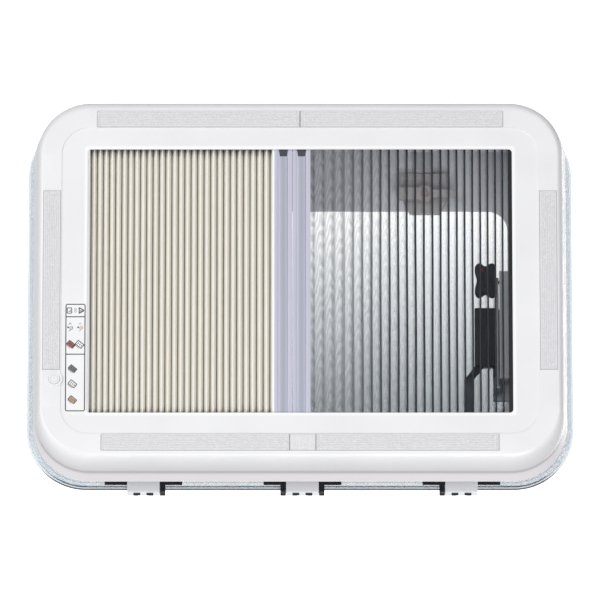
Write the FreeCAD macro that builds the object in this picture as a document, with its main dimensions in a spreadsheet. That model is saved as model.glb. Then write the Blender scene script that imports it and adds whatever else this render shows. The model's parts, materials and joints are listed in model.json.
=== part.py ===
import FreeCAD, Part
import math
import operator
import os

import Sketcher
from FreeCAD import Rotation, Vector

# Roof window for a caravan or camper van, in millimetres and as installed.
# X runs along the long side, Y towards the hinges and Z up to the sky. The origin is the
# centre of the roof cut-out, on the roof's outer surface, where the gasket sits.

doc = FreeCAD.newDocument("RoofVentCover")
sheet = doc.addObject("Spreadsheet::Sheet", "Sizes")

OPERATIONS = {"+": operator.add, "-": operator.sub, "*": operator.mul, "/": operator.truediv}


class Size:
    """A length that carries its spreadsheet expression and its present number."""

    def __init__(self, text, number):
        self.text = text
        self.number = number

    def __add__(self, other):
        return combine(self, "+", other)

    def __radd__(self, other):
        return combine(other, "+", self)

    def __sub__(self, other):
        return combine(self, "-", other)

    def __rsub__(self, other):
        return combine(other, "-", self)

    def __mul__(self, other):
        return combine(self, "*", other)

    def __rmul__(self, other):
        return combine(other, "*", self)

    def __truediv__(self, other):
        return combine(self, "/", other)

    def __neg__(self):
        return combine(-1, "*", self)


def as_size(amount):
    """A plain number as a Size, and a Size as it is."""
    return amount if isinstance(amount, Size) else Size(f"({amount})", amount)


def combine(left, sign, right):
    """The Size that an arithmetic sign makes of two others."""
    left, right = as_size(left), as_size(right)
    number = OPERATIONS[sign](left.number, right.number)
    return Size(f"({left.text} {sign} {right.text})", number)


def cell(alias, number):
    """Write one driving dimension into the sheet and return it as a Size."""
    cell.row += 1
    sheet.set(f"A{cell.row}", alias)
    sheet.set(f"B{cell.row}", str(number))
    sheet.setAlias(f"B{cell.row}", alias)
    return Size(f"Sizes.{alias}", number)


cell.row = 0

# ---------------------------------------------------------------- driving dimensions
# Roof and its cut-out
cutout_length = cell("cutout_length", 700)
cutout_width = cell("cutout_width", 500)
cutout_gap = cell("cutout_gap", 2)
roof_thickness = cell("roof_thickness", 35)

# Clearances shared by all pieces
touch_gap = cell("touch_gap", 0.3)
run_gap = cell("run_gap", 0.1)

# How far each cutting tool passes the face that it opens
overshoot = cell("overshoot", 1)

# Outer frame, its gasket and the seal under the lid
gasket_thickness = cell("gasket_thickness", 2)
gasket_margin = cell("gasket_margin", 2)
flange_thickness = cell("flange_thickness", 4)
flange_reach = cell("flange_reach", 20)
frame_wall = cell("frame_wall", 3)
frame_corner = cell("frame_corner", 40)
spigot_depth = cell("spigot_depth", 30)
coaming_height = cell("coaming_height", 20)
seal_lip = cell("seal_lip", 2)
seal_skirt = cell("seal_skirt", 6)
seal_bulb = cell("seal_bulb", 6)

# Lid: reveal frame, inner pane and domed outer pane
view_inset_x = cell("view_inset_x", 46)
view_front_inset = cell("view_front_inset", 103)
view_rear_inset = cell("view_rear_inset", 84)
view_corner = cell("view_corner", 30)
reveal_thickness = cell("reveal_thickness", 5)
reveal_overlap = cell("reveal_overlap", 1.5)
pane_thickness = cell("pane_thickness", 3)
pane_draft = cell("pane_draft", 7)
rim_level = cell("rim_level", 12)
dome_overhang_x = cell("dome_overhang_x", 48)
dome_overhang_y = cell("dome_overhang_y", 34)
dome_corner = cell("dome_corner", 88)
dome_ledge = cell("dome_ledge", 8)
dome_rise = cell("dome_rise", 47)
crown_length = cell("crown_length", 320)
crown_width = cell("crown_width", 172)
crown_corner = cell("crown_corner", 51)
inner_rim_inset = cell("inner_rim_inset", 3)

# Room-side trim
trim_overhang_x = cell("trim_overhang_x", 38)
trim_overhang_y = cell("trim_overhang_y", 37)
trim_corner = cell("trim_corner", 84)
trim_depth = cell("trim_depth", 63)
trim_wall = cell("trim_wall", 3)
trim_face_wall = cell("trim_face_wall", 4)
face_margin_x = cell("face_margin_x", 14)
face_margin_y = cell("face_margin_y", 27)
flare_x = cell("flare_x", 4)
flare_y = cell("flare_y", 7)
bevel_depth = cell("bevel_depth", 38)
panel_margin_x = cell("panel_margin_x", 1)
panel_margin_y = cell("panel_margin_y", 0.5)
panel_corner = cell("panel_corner", 40)
panel_step = cell("panel_step", 1.5)
opening_inset_x = cell("opening_inset_x", 41.5)
opening_inset_y = cell("opening_inset_y", 49)
opening_corner = cell("opening_corner", 5)
opening_bevel = cell("opening_bevel", 1.2)

# Light strips let into the trim
strip_width = cell("strip_width", 25.4)
strip_margin = cell("strip_margin", 0.6)
strip_depth = cell("strip_depth", 8)
pocket_wall = cell("pocket_wall", 2.5)
front_strip_inset = cell("front_strip_inset", 78)
rear_strip_inset = cell("rear_strip_inset", 86)
side_strip_inset = cell("side_strip_inset", 123)
rear_joint_length = cell("rear_joint_length", 38)
rear_joint_shift = cell("rear_joint_shift", 4)
cover_rise = cell("cover_rise", 0.8)
cover_wall = cell("cover_wall", 1.5)
board_width = cell("board_width", 10)
board_thickness = cell("board_thickness", 1.2)
board_shift = cell("board_shift", 3.5)
board_setback = cell("board_setback", 4.5)
long_board_chips = cell("long_board_chips", 14)
side_board_chips = cell("side_board_chips", 13)
chip_length = cell("chip_length", 5)
chip_width = cell("chip_width", 3)
chip_height = cell("chip_height", 0.8)

# Clamp screws that pull the trim and the outer frame together
screw_spacing_inner = cell("screw_spacing_inner", 100)
screw_inset = cell("screw_inset", 38)
screw_radius = cell("screw_radius", 2)
screw_head_radius = cell("screw_head_radius", 3.8)
screw_head_height = cell("screw_head_height", 2.5)
screw_line = cell("screw_line", 5)
screw_reach = cell("screw_reach", 18)
boss_radius = cell("boss_radius", 5)
lug_width = cell("lug_width", 14)
lug_height = cell("lug_height", 22)

# Shade cassette, its rails and the two end profiles
rail_height = cell("rail_height", 22)
rail_wall = cell("rail_wall", 1.5)
rail_overlap = cell("rail_overlap", 9.5)
rail_setback = cell("rail_setback", 3.5)
rail_depth = cell("rail_depth", 17.5)
cassette_thickness = cell("cassette_thickness", 3)
cassette_margin_x = cell("cassette_margin_x", 1.5)
cassette_margin_y = cell("cassette_margin_y", 6)
cassette_corner = cell("cassette_corner", 12)
cassette_lap = cell("cassette_lap", 12)
duct_gap_x = cell("duct_gap_x", 12.5)
duct_gap_y = cell("duct_gap_y", 4.5)
duct_corner = cell("duct_corner", 24)
duct_wall = cell("duct_wall", 2.5)
duct_height = cell("duct_height", 47)
blind_profile_width = cell("blind_profile_width", 12)
screen_profile_width = cell("screen_profile_width", 15)

# Pull bars, clips and the two pleated fabrics
bar_width = cell("bar_width", 26)
bar_meeting = cell("bar_meeting", -11)
bar_gap = cell("bar_gap", 0.5)
bar_wall = cell("bar_wall", 1.5)
bar_end_gap = cell("bar_end_gap", 1)
groove_width = cell("groove_width", 2.4)
groove_depth = cell("groove_depth", 1)
groove_inset = cell("groove_inset", 5)
slider_width = cell("slider_width", 14)
slider_taper = cell("slider_taper", 2.5)
tongue_reach = cell("tongue_reach", 12)
tongue_taper = cell("tongue_taper", 2)
clip_width = cell("clip_width", 3)
fabric_thickness = cell("fabric_thickness", 0.5)
fabric_margin = cell("fabric_margin", 1.5)
blind_pleats = cell("blind_pleats", 30)
screen_pleats = cell("screen_pleats", 24)

# Hinges
hinge_spacing = cell("hinge_spacing", 231)
hinge_shift = cell("hinge_shift", 3.5)
hinge_overhang = cell("hinge_overhang", 5)
hinge_level = cell("hinge_level", 10)
knuckle_radius = cell("knuckle_radius", 4)
leaf_width = cell("leaf_width", 47)
leaf_reach = cell("leaf_reach", 27)
leaf_thickness = cell("leaf_thickness", 3)
pin_radius = cell("pin_radius", 2)
notch_width = cell("notch_width", 8)
notch_spacing = cell("notch_spacing", 11)
notch_radius = cell("notch_radius", 6.5)
ear_margin = cell("ear_margin", 0.5)
ear_root = cell("ear_root", 2)
base_width = cell("base_width", 113)
base_grip = cell("base_grip", 18)
base_thickness = cell("base_thickness", 2.5)
base_setback = cell("base_setback", 10)
base_screw_inset = cell("base_screw_inset", 10)
base_screw_margin = cell("base_screw_margin", 4.5)
cheek_width = cell("cheek_width", 8)
cheek_radius = cell("cheek_radius", 5.5)
rivet_spacing = cell("rivet_spacing", 14)
rivet_setback = cell("rivet_setback", 22)

# Sliding stays that hold the lid open, with the lid's widest angle in degrees
lid_opening = cell("lid_opening", 55)
stay_length = cell("stay_length", 160)
stay_inset = cell("stay_inset", 59)
stay_thickness = cell("stay_thickness", 4)
stay_half_width = cell("stay_half_width", 7)
shelf_gap = cell("shelf_gap", 1)
shelf_level = cell("shelf_level", -1)
shelf_thickness = cell("shelf_thickness", 4)
track_setback = cell("track_setback", 2)
track_width = cell("track_width", 12)
track_height = cell("track_height", 14)
track_end = cell("track_end", 14)
knob_radius = cell("knob_radius", 14)
knob_length = cell("knob_length", 23)
pin_setback = cell("pin_setback", 1)
pivot_radius = cell("pivot_radius", 3)
rivet_head_radius = cell("rivet_head_radius", 5)
rivet_head_height = cell("rivet_head_height", 1.5)
bracket_thickness = cell("bracket_thickness", 5)
bracket_inboard = cell("bracket_inboard", 31)
bracket_outboard = cell("bracket_outboard", 32)
bracket_reach = cell("bracket_reach", 122)
bracket_tail = cell("bracket_tail", 17)
bracket_block = cell("bracket_block", 88)
bracket_depth = cell("bracket_depth", 13)
ear_thickness = cell("ear_thickness", 4)
ear_half_width = cell("ear_half_width", 10)
brace_width = cell("brace_width", 13)
brace_shift = cell("brace_shift", 15.5)
brace_run = cell("brace_run", 20)
brace_lap = cell("brace_lap", 4)

# Latches at the opening side
latch_x = cell("latch_x", 183)
latch_inset = cell("latch_inset", 80)
housing_height = cell("housing_height", 12)
housing_half_width = cell("housing_half_width", 36.5)
housing_narrow_half = cell("housing_narrow_half", 22)
housing_back = cell("housing_back", 35)
housing_square = cell("housing_square", 31)
housing_front = cell("housing_front", 25)
hub_radius = cell("hub_radius", 12)
hub_height = cell("hub_height", 15)
spindle_radius = cell("spindle_radius", 4)
spindle_length = cell("spindle_length", 8)
tongue_length = cell("tongue_length", 44)
tongue_half_width = cell("tongue_half_width", 6)
tongue_height = cell("tongue_height", 5)
grip_length = cell("grip_length", 40)
grip_half_width = cell("grip_half_width", 9)
grip_height = cell("grip_height", 8)
button_radius = cell("button_radius", 5)
button_length = cell("button_length", 9)
button_rise = cell("button_rise", 3)
keeper_half_width = cell("keeper_half_width", 12)
keeper_thickness = cell("keeper_thickness", 4)
keeper_bite = cell("keeper_bite", 9)
keeper_gap = cell("keeper_gap", 1)

# Light switch, operating label and light driver
switch_inset = cell("switch_inset", 18)
switch_gap = cell("switch_gap", 2)
bezel_radius = cell("bezel_radius", 12)
bezel_neck_radius = cell("bezel_neck_radius", 10)
bezel_rim = cell("bezel_rim", 1)
bezel_depth = cell("bezel_depth", 12)
bezel_wall = cell("bezel_wall", 1.8)
switch_rise = cell("switch_rise", 1.5)
switch_length = cell("switch_length", 9)
label_width = cell("label_width", 30)
label_length = cell("label_length", 171)
label_rise = cell("label_rise", 4)
label_thickness = cell("label_thickness", 0.25)
label_margin = cell("label_margin", 0.8)
driver_length = cell("driver_length", 70)
driver_width = cell("driver_width", 22)
driver_setback = cell("driver_setback", 3.5)
inlet_width = cell("inlet_width", 14)
inlet_height = cell("inlet_height", 7)
inlet_depth = cell("inlet_depth", 9)

doc.recompute()

# ---------------------------------------------------------------- levels and outlines
ceiling = -roof_thickness
room_face = ceiling - trim_depth
crease = room_face + bevel_depth
ring_back = room_face + trim_face_wall
pocket_floor = room_face + strip_depth
pocket_back = pocket_floor + pocket_wall
panel_face = room_face + panel_step
rail_top = ring_back + rail_height
cassette_top = rail_top + cassette_thickness
flange_top = gasket_thickness + flange_thickness
reveal_under = coaming_height + seal_bulb
pane_under = reveal_under + reveal_thickness
pane_top = pane_under + pane_thickness
outer_rim_level = rim_level + pane_thickness
dome_base = outer_rim_level + pane_thickness

spigot_length = cutout_length - 2 * cutout_gap
spigot_width = cutout_width - 2 * cutout_gap
well_length = spigot_length - 2 * frame_wall
well_width = spigot_width - 2 * frame_wall
view_length = cutout_length - 2 * view_inset_x
view_width = cutout_width - view_front_inset - view_rear_inset
view_middle = (view_front_inset - view_rear_inset) / 2
view_rear_edge = cutout_width / 2 - view_rear_inset
dome_length = cutout_length + 2 * dome_overhang_x
dome_width = cutout_width + 2 * dome_overhang_y
trim_length = cutout_length + 2 * trim_overhang_x
trim_width = cutout_width + 2 * trim_overhang_y
opening_length = cutout_length - 2 * opening_inset_x
opening_width = cutout_width - 2 * opening_inset_y

face_length = trim_length - 2 * face_margin_x
face_width = trim_width - 2 * face_margin_y
face_corner = trim_corner - face_margin_x
face_middle = room_face + trim_face_wall / 2
strip_outer_x = face_length / 2 - strip_margin
strip_outer_y = face_width / 2 - strip_margin
strip_inner_x = strip_outer_x - strip_width
strip_inner_y = strip_outer_y - strip_width
front_strip_length = face_length - 2 * front_strip_inset
rear_strip_length = face_length - 2 * rear_strip_inset
side_strip_length = face_width - 2 * side_strip_inset
panel_length = 2 * (strip_inner_x - panel_margin_x)
panel_width = 2 * (strip_inner_y - panel_margin_y)

screw_y = well_width / 2 - screw_line
screw_spacing_outer = rear_strip_length / 2 - screw_inset
duct_length = well_length - 2 * (duct_gap_x + duct_wall)
duct_width = 2 * (screw_y - lug_width / 2 - duct_gap_y - duct_wall)
cassette_length = duct_length + 2 * (duct_wall + cassette_margin_x)
cassette_width = 2 * (screw_y + cassette_margin_y)
cassette_half = opening_length / 2 + rail_overlap
rail_mouth = opening_width / 2 + rail_setback
bar_half_length = rail_mouth - bar_end_gap

hinge_y = dome_width / 2 + hinge_overhang
flange_edge_y = cutout_width / 2 + flange_reach
base_screw_y = flange_edge_y - base_screw_margin
base_reach = hinge_y - base_setback - flange_edge_y + base_grip
stay_plane = well_length / 2 - stay_inset
shelf_edge = stay_plane + stay_thickness + shelf_gap
bracket_inner = stay_plane - bracket_inboard
bracket_outer = stay_plane + bracket_outboard
arm_pivot_y = hinge_y - stay_length
arm_slider_y = arm_pivot_y - stay_length
bracket_front = arm_pivot_y - bracket_reach
bracket_rear = arm_pivot_y + bracket_tail
bracket_block_rear = bracket_front + bracket_block
bracket_web = stay_plane - touch_gap - ear_thickness
latch_y = latch_inset - well_width / 2
switch_x = switch_inset - face_length / 2
switch_y = side_strip_length / 2 + bezel_radius + switch_gap
label_end = opening_width / 2 + label_rise

# The slider moves as the base of an isosceles triangle whose equal sides are the stay's length.
track_travel = 2 * stay_length * (1 - math.cos(math.radians(lid_opening.number)))

# Steps of the two quarter ellipses, on the crown of the dome and on the trim's rounded edge
CROWN_STEPS = 6
BEVEL_STEPS = 4

NODES = []


# ---------------------------------------------------------------- building helpers
def bind(item, path, amount):
    """Drive one property of an object by a Size."""
    item.setExpression(path, as_size(amount).text)


def place(item, x=0, y=0, z=0):
    """Drive an object's position by Sizes."""
    for axis, amount in (("x", x), ("y", y), ("z", z)):
        bind(item, f"Placement.Base.{axis}", amount)
    return item


def node(item, label):
    """Keep an object as the sub-part of that name."""
    item.Label = label
    NODES.append(item)
    return item


def box(x, y, z):
    """Box between a low and a high plane along each axis."""
    item = doc.addObject("Part::Box", "Block")
    for side, (low, high) in (("Length", x), ("Width", y), ("Height", z)):
        bind(item, side, high - low)
    return place(item, x[0], y[0], z[0])


AXIS_TURNS = {
    "x": Rotation(Vector(0, 1, 0), 90),
    "y": Rotation(Vector(1, 0, 0), -90),
    "z": Rotation(),
}


def cylinder(axis, x, y, z, radius, length):
    """Cylinder that starts at x, y, z and runs along one positive axis."""
    item = doc.addObject("Part::Cylinder", "Round")
    bind(item, "Radius", radius)
    bind(item, "Height", length)
    item.Placement.Rotation = AXIS_TURNS[axis]
    return place(item, x, y, z)


def bore(axis, x, y, z, radius, length):
    """Cutting tool for a round hole of that length, passing both its faces."""
    start = {"x": x, "y": y, "z": z}
    start[axis] = start[axis] - overshoot
    return cylinder(axis, start["x"], start["y"], start["z"], radius, length + 2 * overshoot)


def wedge(x, y, z, x_end):
    """Box whose X span changes from x at the low Y plane to x_end at the high Y plane."""
    item = doc.addObject("Part::Wedge", "Taper")
    spans = {"Xmin": x[0], "Xmax": x[1], "Ymin": y[0], "Ymax": y[1], "Zmin": z[0], "Zmax": z[1]}
    spans.update({"X2min": x_end[0], "X2max": x_end[1], "Z2min": z[0], "Z2max": z[1]})
    for name, amount in spans.items():
        bind(item, name, amount)
    return item


def fuse(*items):
    """One object made of several that touch, or a group of several that don't."""
    item = doc.addObject("Part::MultiFuse", "Joined")
    item.Shapes = list(items)
    return item


def cut(base, *tools):
    """The base with every tool taken away."""
    item = doc.addObject("Part::Cut", "Opened")
    item.Base = base
    item.Tool = tools[0] if len(tools) == 1 else fuse(*tools)
    return item


def mirrored(side, near, far):
    """Span from near to far on the positive side, or its mirror image on the negative one."""
    return (near, far) if side > 0 else (-far, -near)


def rounded_outline(sketch, length, width, radius):
    """Draw a rounded rectangle about the sketch's origin and tie it to its sizes."""
    first = sketch.GeometryCount
    straight_x, straight_y = as_size(length - 2 * radius), as_size(width - 2 * radius)
    bend = as_size(radius).number
    corners = [
        Vector(sign_x * straight_x.number / 2, sign_y * straight_y.number / 2, 0)
        for sign_x, sign_y in ((1, -1), (1, 1), (-1, 1), (-1, -1))
    ]
    for index, corner in enumerate(corners):
        start = math.radians(90 * index - 90)
        leave = Vector(math.cos(start + math.pi / 2), math.sin(start + math.pi / 2), 0) * bend
        circle = Part.Circle(corner, Vector(0, 0, 1), bend)
        sketch.addGeometry(Part.ArcOfCircle(circle, start, start + math.pi / 2))
        sketch.addGeometry(Part.LineSegment(corner + leave, corners[(index + 1) % 4] + leave))
    for index in range(8):
        following = first + (index + 1) % 8
        sketch.addConstraint(Sketcher.Constraint("Tangent", first + index, 2, following, 1))
    for index, direction in ((1, "Vertical"), (3, "Horizontal"), (5, "Vertical"), (7, "Horizontal")):
        sketch.addConstraint(Sketcher.Constraint(direction, first + index))
    for index in (2, 4, 6):
        sketch.addConstraint(Sketcher.Constraint("Equal", first, first + index))
    sketch.addConstraint(Sketcher.Constraint("Symmetric", first, 3, first + 4, 3, -1, 1))
    for kind, targets, amount in (
        ("DistanceX", (first + 3, 2, first + 3, 1), straight_x),
        ("DistanceY", (first + 1, 1, first + 1, 2), straight_y),
        ("Radius", (first,), as_size(radius)),
    ):
        added = sketch.addConstraint(Sketcher.Constraint(kind, *targets, amount.number))
        bind(sketch, f"Constraints[{added}]", amount)


def section(length, width, radius, level):
    """Free-standing rounded outline at one level, for a loft."""
    sketch = doc.addObject("Sketcher::SketchObject", "Section")
    rounded_outline(sketch, length, width, radius)
    return place(sketch, z=level)


def loft(sections, ruled=False):
    """Closed solid through a stack of outlines."""
    item = doc.addObject("Part::Loft", "Loft")
    item.Sections = sections
    item.Solid = True
    item.Ruled = ruled
    return item


def plate(outer, low, high, inner=None):
    """Level plate of a rounded outline, with a rounded hole where inner is given."""
    body = doc.addObject("PartDesign::Body", "Body")
    sketch = body.newObject("Sketcher::SketchObject", "Outline")
    plane = next(item for item in body.Origin.OriginFeatures if item.Role == "XY_Plane")
    sketch.AttachmentSupport = [(plane, "")]
    sketch.MapMode = "FlatFace"
    bind(sketch, "AttachmentOffset.Base.z", low)
    rounded_outline(sketch, *outer)
    if inner:
        rounded_outline(sketch, *inner)
    pad = body.newObject("PartDesign::Pad", "Pad")
    pad.Profile = sketch
    bind(pad, "Length", high - low)
    return body


# ---------------------------------------------------------------- fixed frame in the roof
def roof_gasket():
    """Flat foam ring that seals the flange to the roof."""
    reach = 2 * (flange_reach - gasket_margin)
    outer = (cutout_length + reach, cutout_width + reach, frame_corner + flange_reach)
    inner = (cutout_length + gasket_margin, cutout_width + gasket_margin, frame_corner)
    node(plate(outer, 0, gasket_thickness, inner), "roof_gasket")


def clamp_screw_places():
    """Centres of the clamp screws, along both long sides."""
    for side in (-1, 1):
        for spacing in (screw_spacing_inner, screw_spacing_outer):
            yield side, -spacing, side * screw_y
            yield side, spacing, side * screw_y


def hinge_stations():
    """X places of the hinges."""
    return [hinge_shift + count * hinge_spacing for count in (-1, 0, 1)]


def base_screw_places():
    """Centres of the screws that hold each hinge base to the flange."""
    for station in hinge_stations():
        for side in (-1, 1):
            yield station + side * (base_width / 2 - base_screw_inset), base_screw_y


def outer_frame():
    """Flange on the roof, spigot down through it and coaming up into the lid, in one moulding."""
    well = (well_length, well_width, frame_corner - frame_wall)
    flange_outline = (
        cutout_length + 2 * flange_reach,
        cutout_width + 2 * flange_reach,
        frame_corner + flange_reach,
    )
    flange = plate(flange_outline, gasket_thickness, flange_top, well)
    spigot = plate((spigot_length, spigot_width, frame_corner), -spigot_depth, coaming_height, well)
    lugs = [
        box(
            (x - lug_width / 2, x + lug_width / 2),
            mirrored(side, screw_y - lug_width / 2, well_width / 2 + frame_wall / 2),
            (-spigot_depth, lug_height - spigot_depth),
        )
        for side, x, _ in clamp_screw_places()
    ]
    shelves = [
        box(
            mirrored(side, shelf_edge, well_length / 2 + frame_wall / 2),
            (arm_slider_y - track_end, arm_slider_y + track_travel + track_end),
            (shelf_level, shelf_level + shelf_thickness),
        )
        for side in (-1, 1)
    ]
    bores = [
        bore("z", x, y, -spigot_depth, screw_radius + run_gap, screw_reach)
        for _, x, y in clamp_screw_places()
    ]
    bores += [
        bore("z", x, y, gasket_thickness, screw_radius + run_gap, flange_thickness)
        for x, y in base_screw_places()
    ]
    node(cut(fuse(flange, spigot, *lugs, *shelves), *bores), "outer_frame")


def lid_seal():
    """Rubber section pressed over the coaming's top edge."""
    outer = (spigot_length + 2 * seal_lip, spigot_width + 2 * seal_lip, frame_corner + seal_lip)
    inner = (well_length - 2 * seal_lip, well_width - 2 * seal_lip, frame_corner - frame_wall - seal_lip)
    low, high = coaming_height - seal_skirt, reveal_under - touch_gap
    slot_outer = (spigot_length + touch_gap, spigot_width + touch_gap, frame_corner)
    slot_inner = (well_length - touch_gap, well_width - touch_gap, frame_corner - frame_wall)
    slot = plate(slot_outer, low - overshoot, coaming_height, slot_inner)
    node(cut(plate(outer, low, high, inner), slot), "lid_seal")


# ---------------------------------------------------------------- lid
def dome_sections(inset, drop):
    """Outlines of the outer pane's crown: a quarter ellipse from its foot to its flat top."""
    foot = (dome_length - 2 * dome_ledge, dome_width - 2 * dome_ledge, dome_corner - dome_ledge)
    crown = (crown_length, crown_width, crown_corner)
    sections = []
    for step in range(CROWN_STEPS + 1):
        angle = math.pi / 2 * step / CROWN_STEPS
        shrink = 1 - math.cos(angle)
        length, width, corner = [low - (low - high) * shrink for low, high in zip(foot, crown)]
        level = dome_base + (dome_rise - drop) * math.sin(angle)
        sections.append(section(length - 2 * inset, width - 2 * inset, corner - inset, level))
    return sections


def outer_dome():
    """Domed outer pane with a flat rim."""
    rim = (dome_length, dome_width, dome_corner)
    foot = (dome_length - 2 * dome_ledge, dome_width - 2 * dome_ledge, dome_corner - dome_ledge)
    bore = tuple(side - 2 * pane_thickness for side in foot[:2]) + (foot[2] - pane_thickness,)
    shell = cut(loft(dome_sections(0, 0)), loft(dome_sections(pane_thickness, pane_thickness)))
    node(fuse(shell, plate(rim, outer_rim_level, dome_base, bore)), "outer_dome")


def inner_pane_outline(level_share, inset):
    """Outline of the inner pane's drafted wall, from its foot at 0 to its top at 1."""
    draft = pane_draft * (1 - level_share)
    length = spigot_length + 2 * (seal_lip + reveal_overlap + pane_thickness + draft)
    width = length - spigot_length + spigot_width
    corner = frame_corner + seal_lip + pane_thickness + draft
    return length - 2 * inset, width - 2 * inset, corner - inset


def inner_dome():
    """Inner pane: a shallow tray, upside down, whose rim is bonded under the outer pane's."""
    rim = (
        dome_length - 2 * inner_rim_inset,
        dome_width - 2 * inner_rim_inset,
        dome_corner - inner_rim_inset,
    )
    foot, top = inner_pane_outline(0, 0), inner_pane_outline(1, 0)
    foot_bore, top_bore = inner_pane_outline(0, pane_thickness), inner_pane_outline(1, pane_thickness)
    outside = loft([section(*foot, rim_level), section(*top, pane_top)], ruled=True)
    inside = loft([section(*foot_bore, rim_level), section(*top_bore, pane_under)], ruled=True)
    rivets = [
        bore("z", x, y, rim_level, pin_radius + run_gap, pane_thickness)
        for x, y in leaf_rivet_places()
    ]
    rim_plate = plate(rim, rim_level, outer_rim_level, foot_bore)
    node(cut(fuse(cut(outside, inside), rim_plate), *rivets), "inner_dome")


def lid_frame():
    """Dark reveal frame that stiffens the inner pane, meets the seal and carries the fittings."""
    outer = tuple(side - touch_gap for side in inner_pane_outline(1, pane_thickness))
    level = (reveal_under, pane_under)
    window = plate((view_length, view_width, view_corner), level[0] - overshoot, level[1] + overshoot)
    opened = cut(plate(outer, *level), place(window, 0, view_middle))
    pads = [outline for side in (-1, 1) for outline in bracket_outline(side, *level)]
    node(fuse(opened, *pads), "lid_frame")


# ---------------------------------------------------------------- hinges
def leaf_rivet_places():
    """Centres of the rivets that hold each hinge leaf to the inner pane's rim."""
    for station in hinge_stations():
        for side in (-1, 1):
            yield station + side * rivet_spacing, hinge_y - rivet_setback


def knuckle_notches(grow):
    """X spans, about a hinge's middle, in which the fixed ears stand."""
    for side in (-1, 1):
        middle = side * notch_spacing
        yield middle - notch_width / 2 - grow, middle + notch_width / 2 + grow


def ear(x, radius):
    """Fixed ear round the hinge axis, with its web down to the base plate."""
    drop = hinge_level - flange_top
    web = box(x, (-base_setback - ear_root, 0), (-drop, base_thickness - drop))
    return fuse(web, cylinder("x", x[0], 0, 0, radius, x[1] - x[0]))


def trough():
    """Trough along a hinge's barrel, the face of the fixed half that shows from the room."""
    half = leaf_width / 2
    drop = hinge_level - flange_top
    wide = (-half - overshoot, half + overshoot)
    lip = cylinder("x", -half, 0, 0, cheek_radius, leaf_width)
    floor = box((-half, half), (flange_edge_y + touch_gap - hinge_y, 0), (-cheek_radius, -drop))
    upper = box(wide, (-cheek_radius - overshoot, cheek_radius + overshoot), (0, cheek_radius + overshoot))
    back = box(wide, (-cheek_radius - overshoot, 0), (-drop, overshoot))
    return cut(fuse(lip, floor), upper, back, bore("x", -half, 0, 0, knuckle_radius + run_gap, leaf_width))


def hinge(index, station):
    """One hinge: a base on the flange and an aluminium leaf under the lid's rim."""
    name = ("left", "middle", "right")[index]
    drop = hinge_level - flange_top
    plate_y = (-base_setback - base_reach, -base_setback)
    base = [box((-base_width / 2, base_width / 2), plate_y, (-drop, base_thickness - drop))]
    base.append(trough())
    base += [ear(span, cheek_radius) for span in knuckle_notches(-ear_margin)]
    inboard = {0: (1,), 1: (-1, 1), 2: (-1,)}[index]
    near = leaf_width / 2 + ear_margin
    base += [ear(mirrored(side, near, near + cheek_width), cheek_radius) for side in inboard]
    bores = [bore("x", -leaf_width, 0, 0, pin_radius + run_gap, 2 * leaf_width)]
    for side in (-1, 1):
        x = side * (base_width / 2 - base_screw_inset)
        bores.append(bore("z", x, base_screw_y - hinge_y, -drop, screw_radius + run_gap, base_thickness))
    body = cut(fuse(*base), *bores)
    node(place(body, station, hinge_y, hinge_level), f"hinge_base_{name}")

    half = leaf_width / 2
    under = rim_level - hinge_level
    leaf_plate = box((-half, half), (-leaf_reach, 0), (under - leaf_thickness, under))
    barrel = cylinder("x", -half, 0, 0, knuckle_radius, leaf_width)
    notches = [cylinder("x", low, 0, 0, notch_radius, high - low) for low, high in knuckle_notches(0)]
    rivet_bore = pin_radius + run_gap
    holes = [
        bore("z", side * rivet_spacing, -rivet_setback, under - leaf_thickness, rivet_bore, leaf_thickness)
        for side in (-1, 1)
    ]
    pin_bore = bore("x", -half, 0, 0, pin_radius + run_gap, leaf_width)
    leaf = cut(fuse(leaf_plate, barrel), *notches, *holes, pin_bore)
    node(place(leaf, station, hinge_y, hinge_level), f"hinge_leaf_{name}")


def hinge_fasteners():
    """Hinge pins, base screws and leaf rivets, each set as one group of separate solids."""
    pins = []
    for index, station in enumerate(hinge_stations()):
        grow_left = cheek_width if index > 0 else 0
        grow_right = cheek_width if index < 2 else 0
        start = station - leaf_width / 2 - grow_left
        pins.append(
            cylinder("x", start, hinge_y, hinge_level, pin_radius, leaf_width + grow_left + grow_right)
        )
    node(fuse(*pins), "hinge_pins")

    screws = []
    head_level = flange_top + base_thickness
    for x, y in base_screw_places():
        shank = cylinder("z", x, y, gasket_thickness, screw_radius, head_level - gasket_thickness)
        head = cylinder("z", x, y, head_level, screw_head_radius, screw_head_height)
        screws.append(fuse(shank, head))
    node(fuse(*screws), "hinge_screws")

    rivets = []
    grip = leaf_thickness + pane_thickness
    for x, y in leaf_rivet_places():
        shank = cylinder("z", x, y, rim_level - leaf_thickness, pin_radius, grip)
        head = cylinder("z", x, y, outer_rim_level, screw_head_radius, rivet_head_height)
        rivets.append(fuse(shank, head))
    node(fuse(*rivets), "leaf_rivets")


# ---------------------------------------------------------------- stays
def bracket_outline(side, low, high):
    """Blocks between two levels that together have a stay bracket's outline."""
    long_x = mirrored(side, bracket_web, bracket_outer)
    short_x = mirrored(side, bracket_inner, bracket_web)
    return [
        box(long_x, (bracket_front, bracket_rear), (low, high)),
        box(short_x, (bracket_front, bracket_block_rear), (low, high)),
    ]


def brace(side, low, high):
    """Bent brace from a stay bracket's block to the rear of the reveal frame."""
    bend_y = bracket_block_rear + brace_run
    start_x = mirrored(side, bracket_inner, bracket_inner + brace_width)
    run_x = mirrored(side, bracket_inner - brace_shift, bracket_inner - brace_shift + brace_width)
    return [
        wedge(start_x, (bracket_block_rear, bend_y), (low, high), run_x),
        box(run_x, (bend_y, view_rear_edge + brace_lap), (low, high)),
    ]


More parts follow.
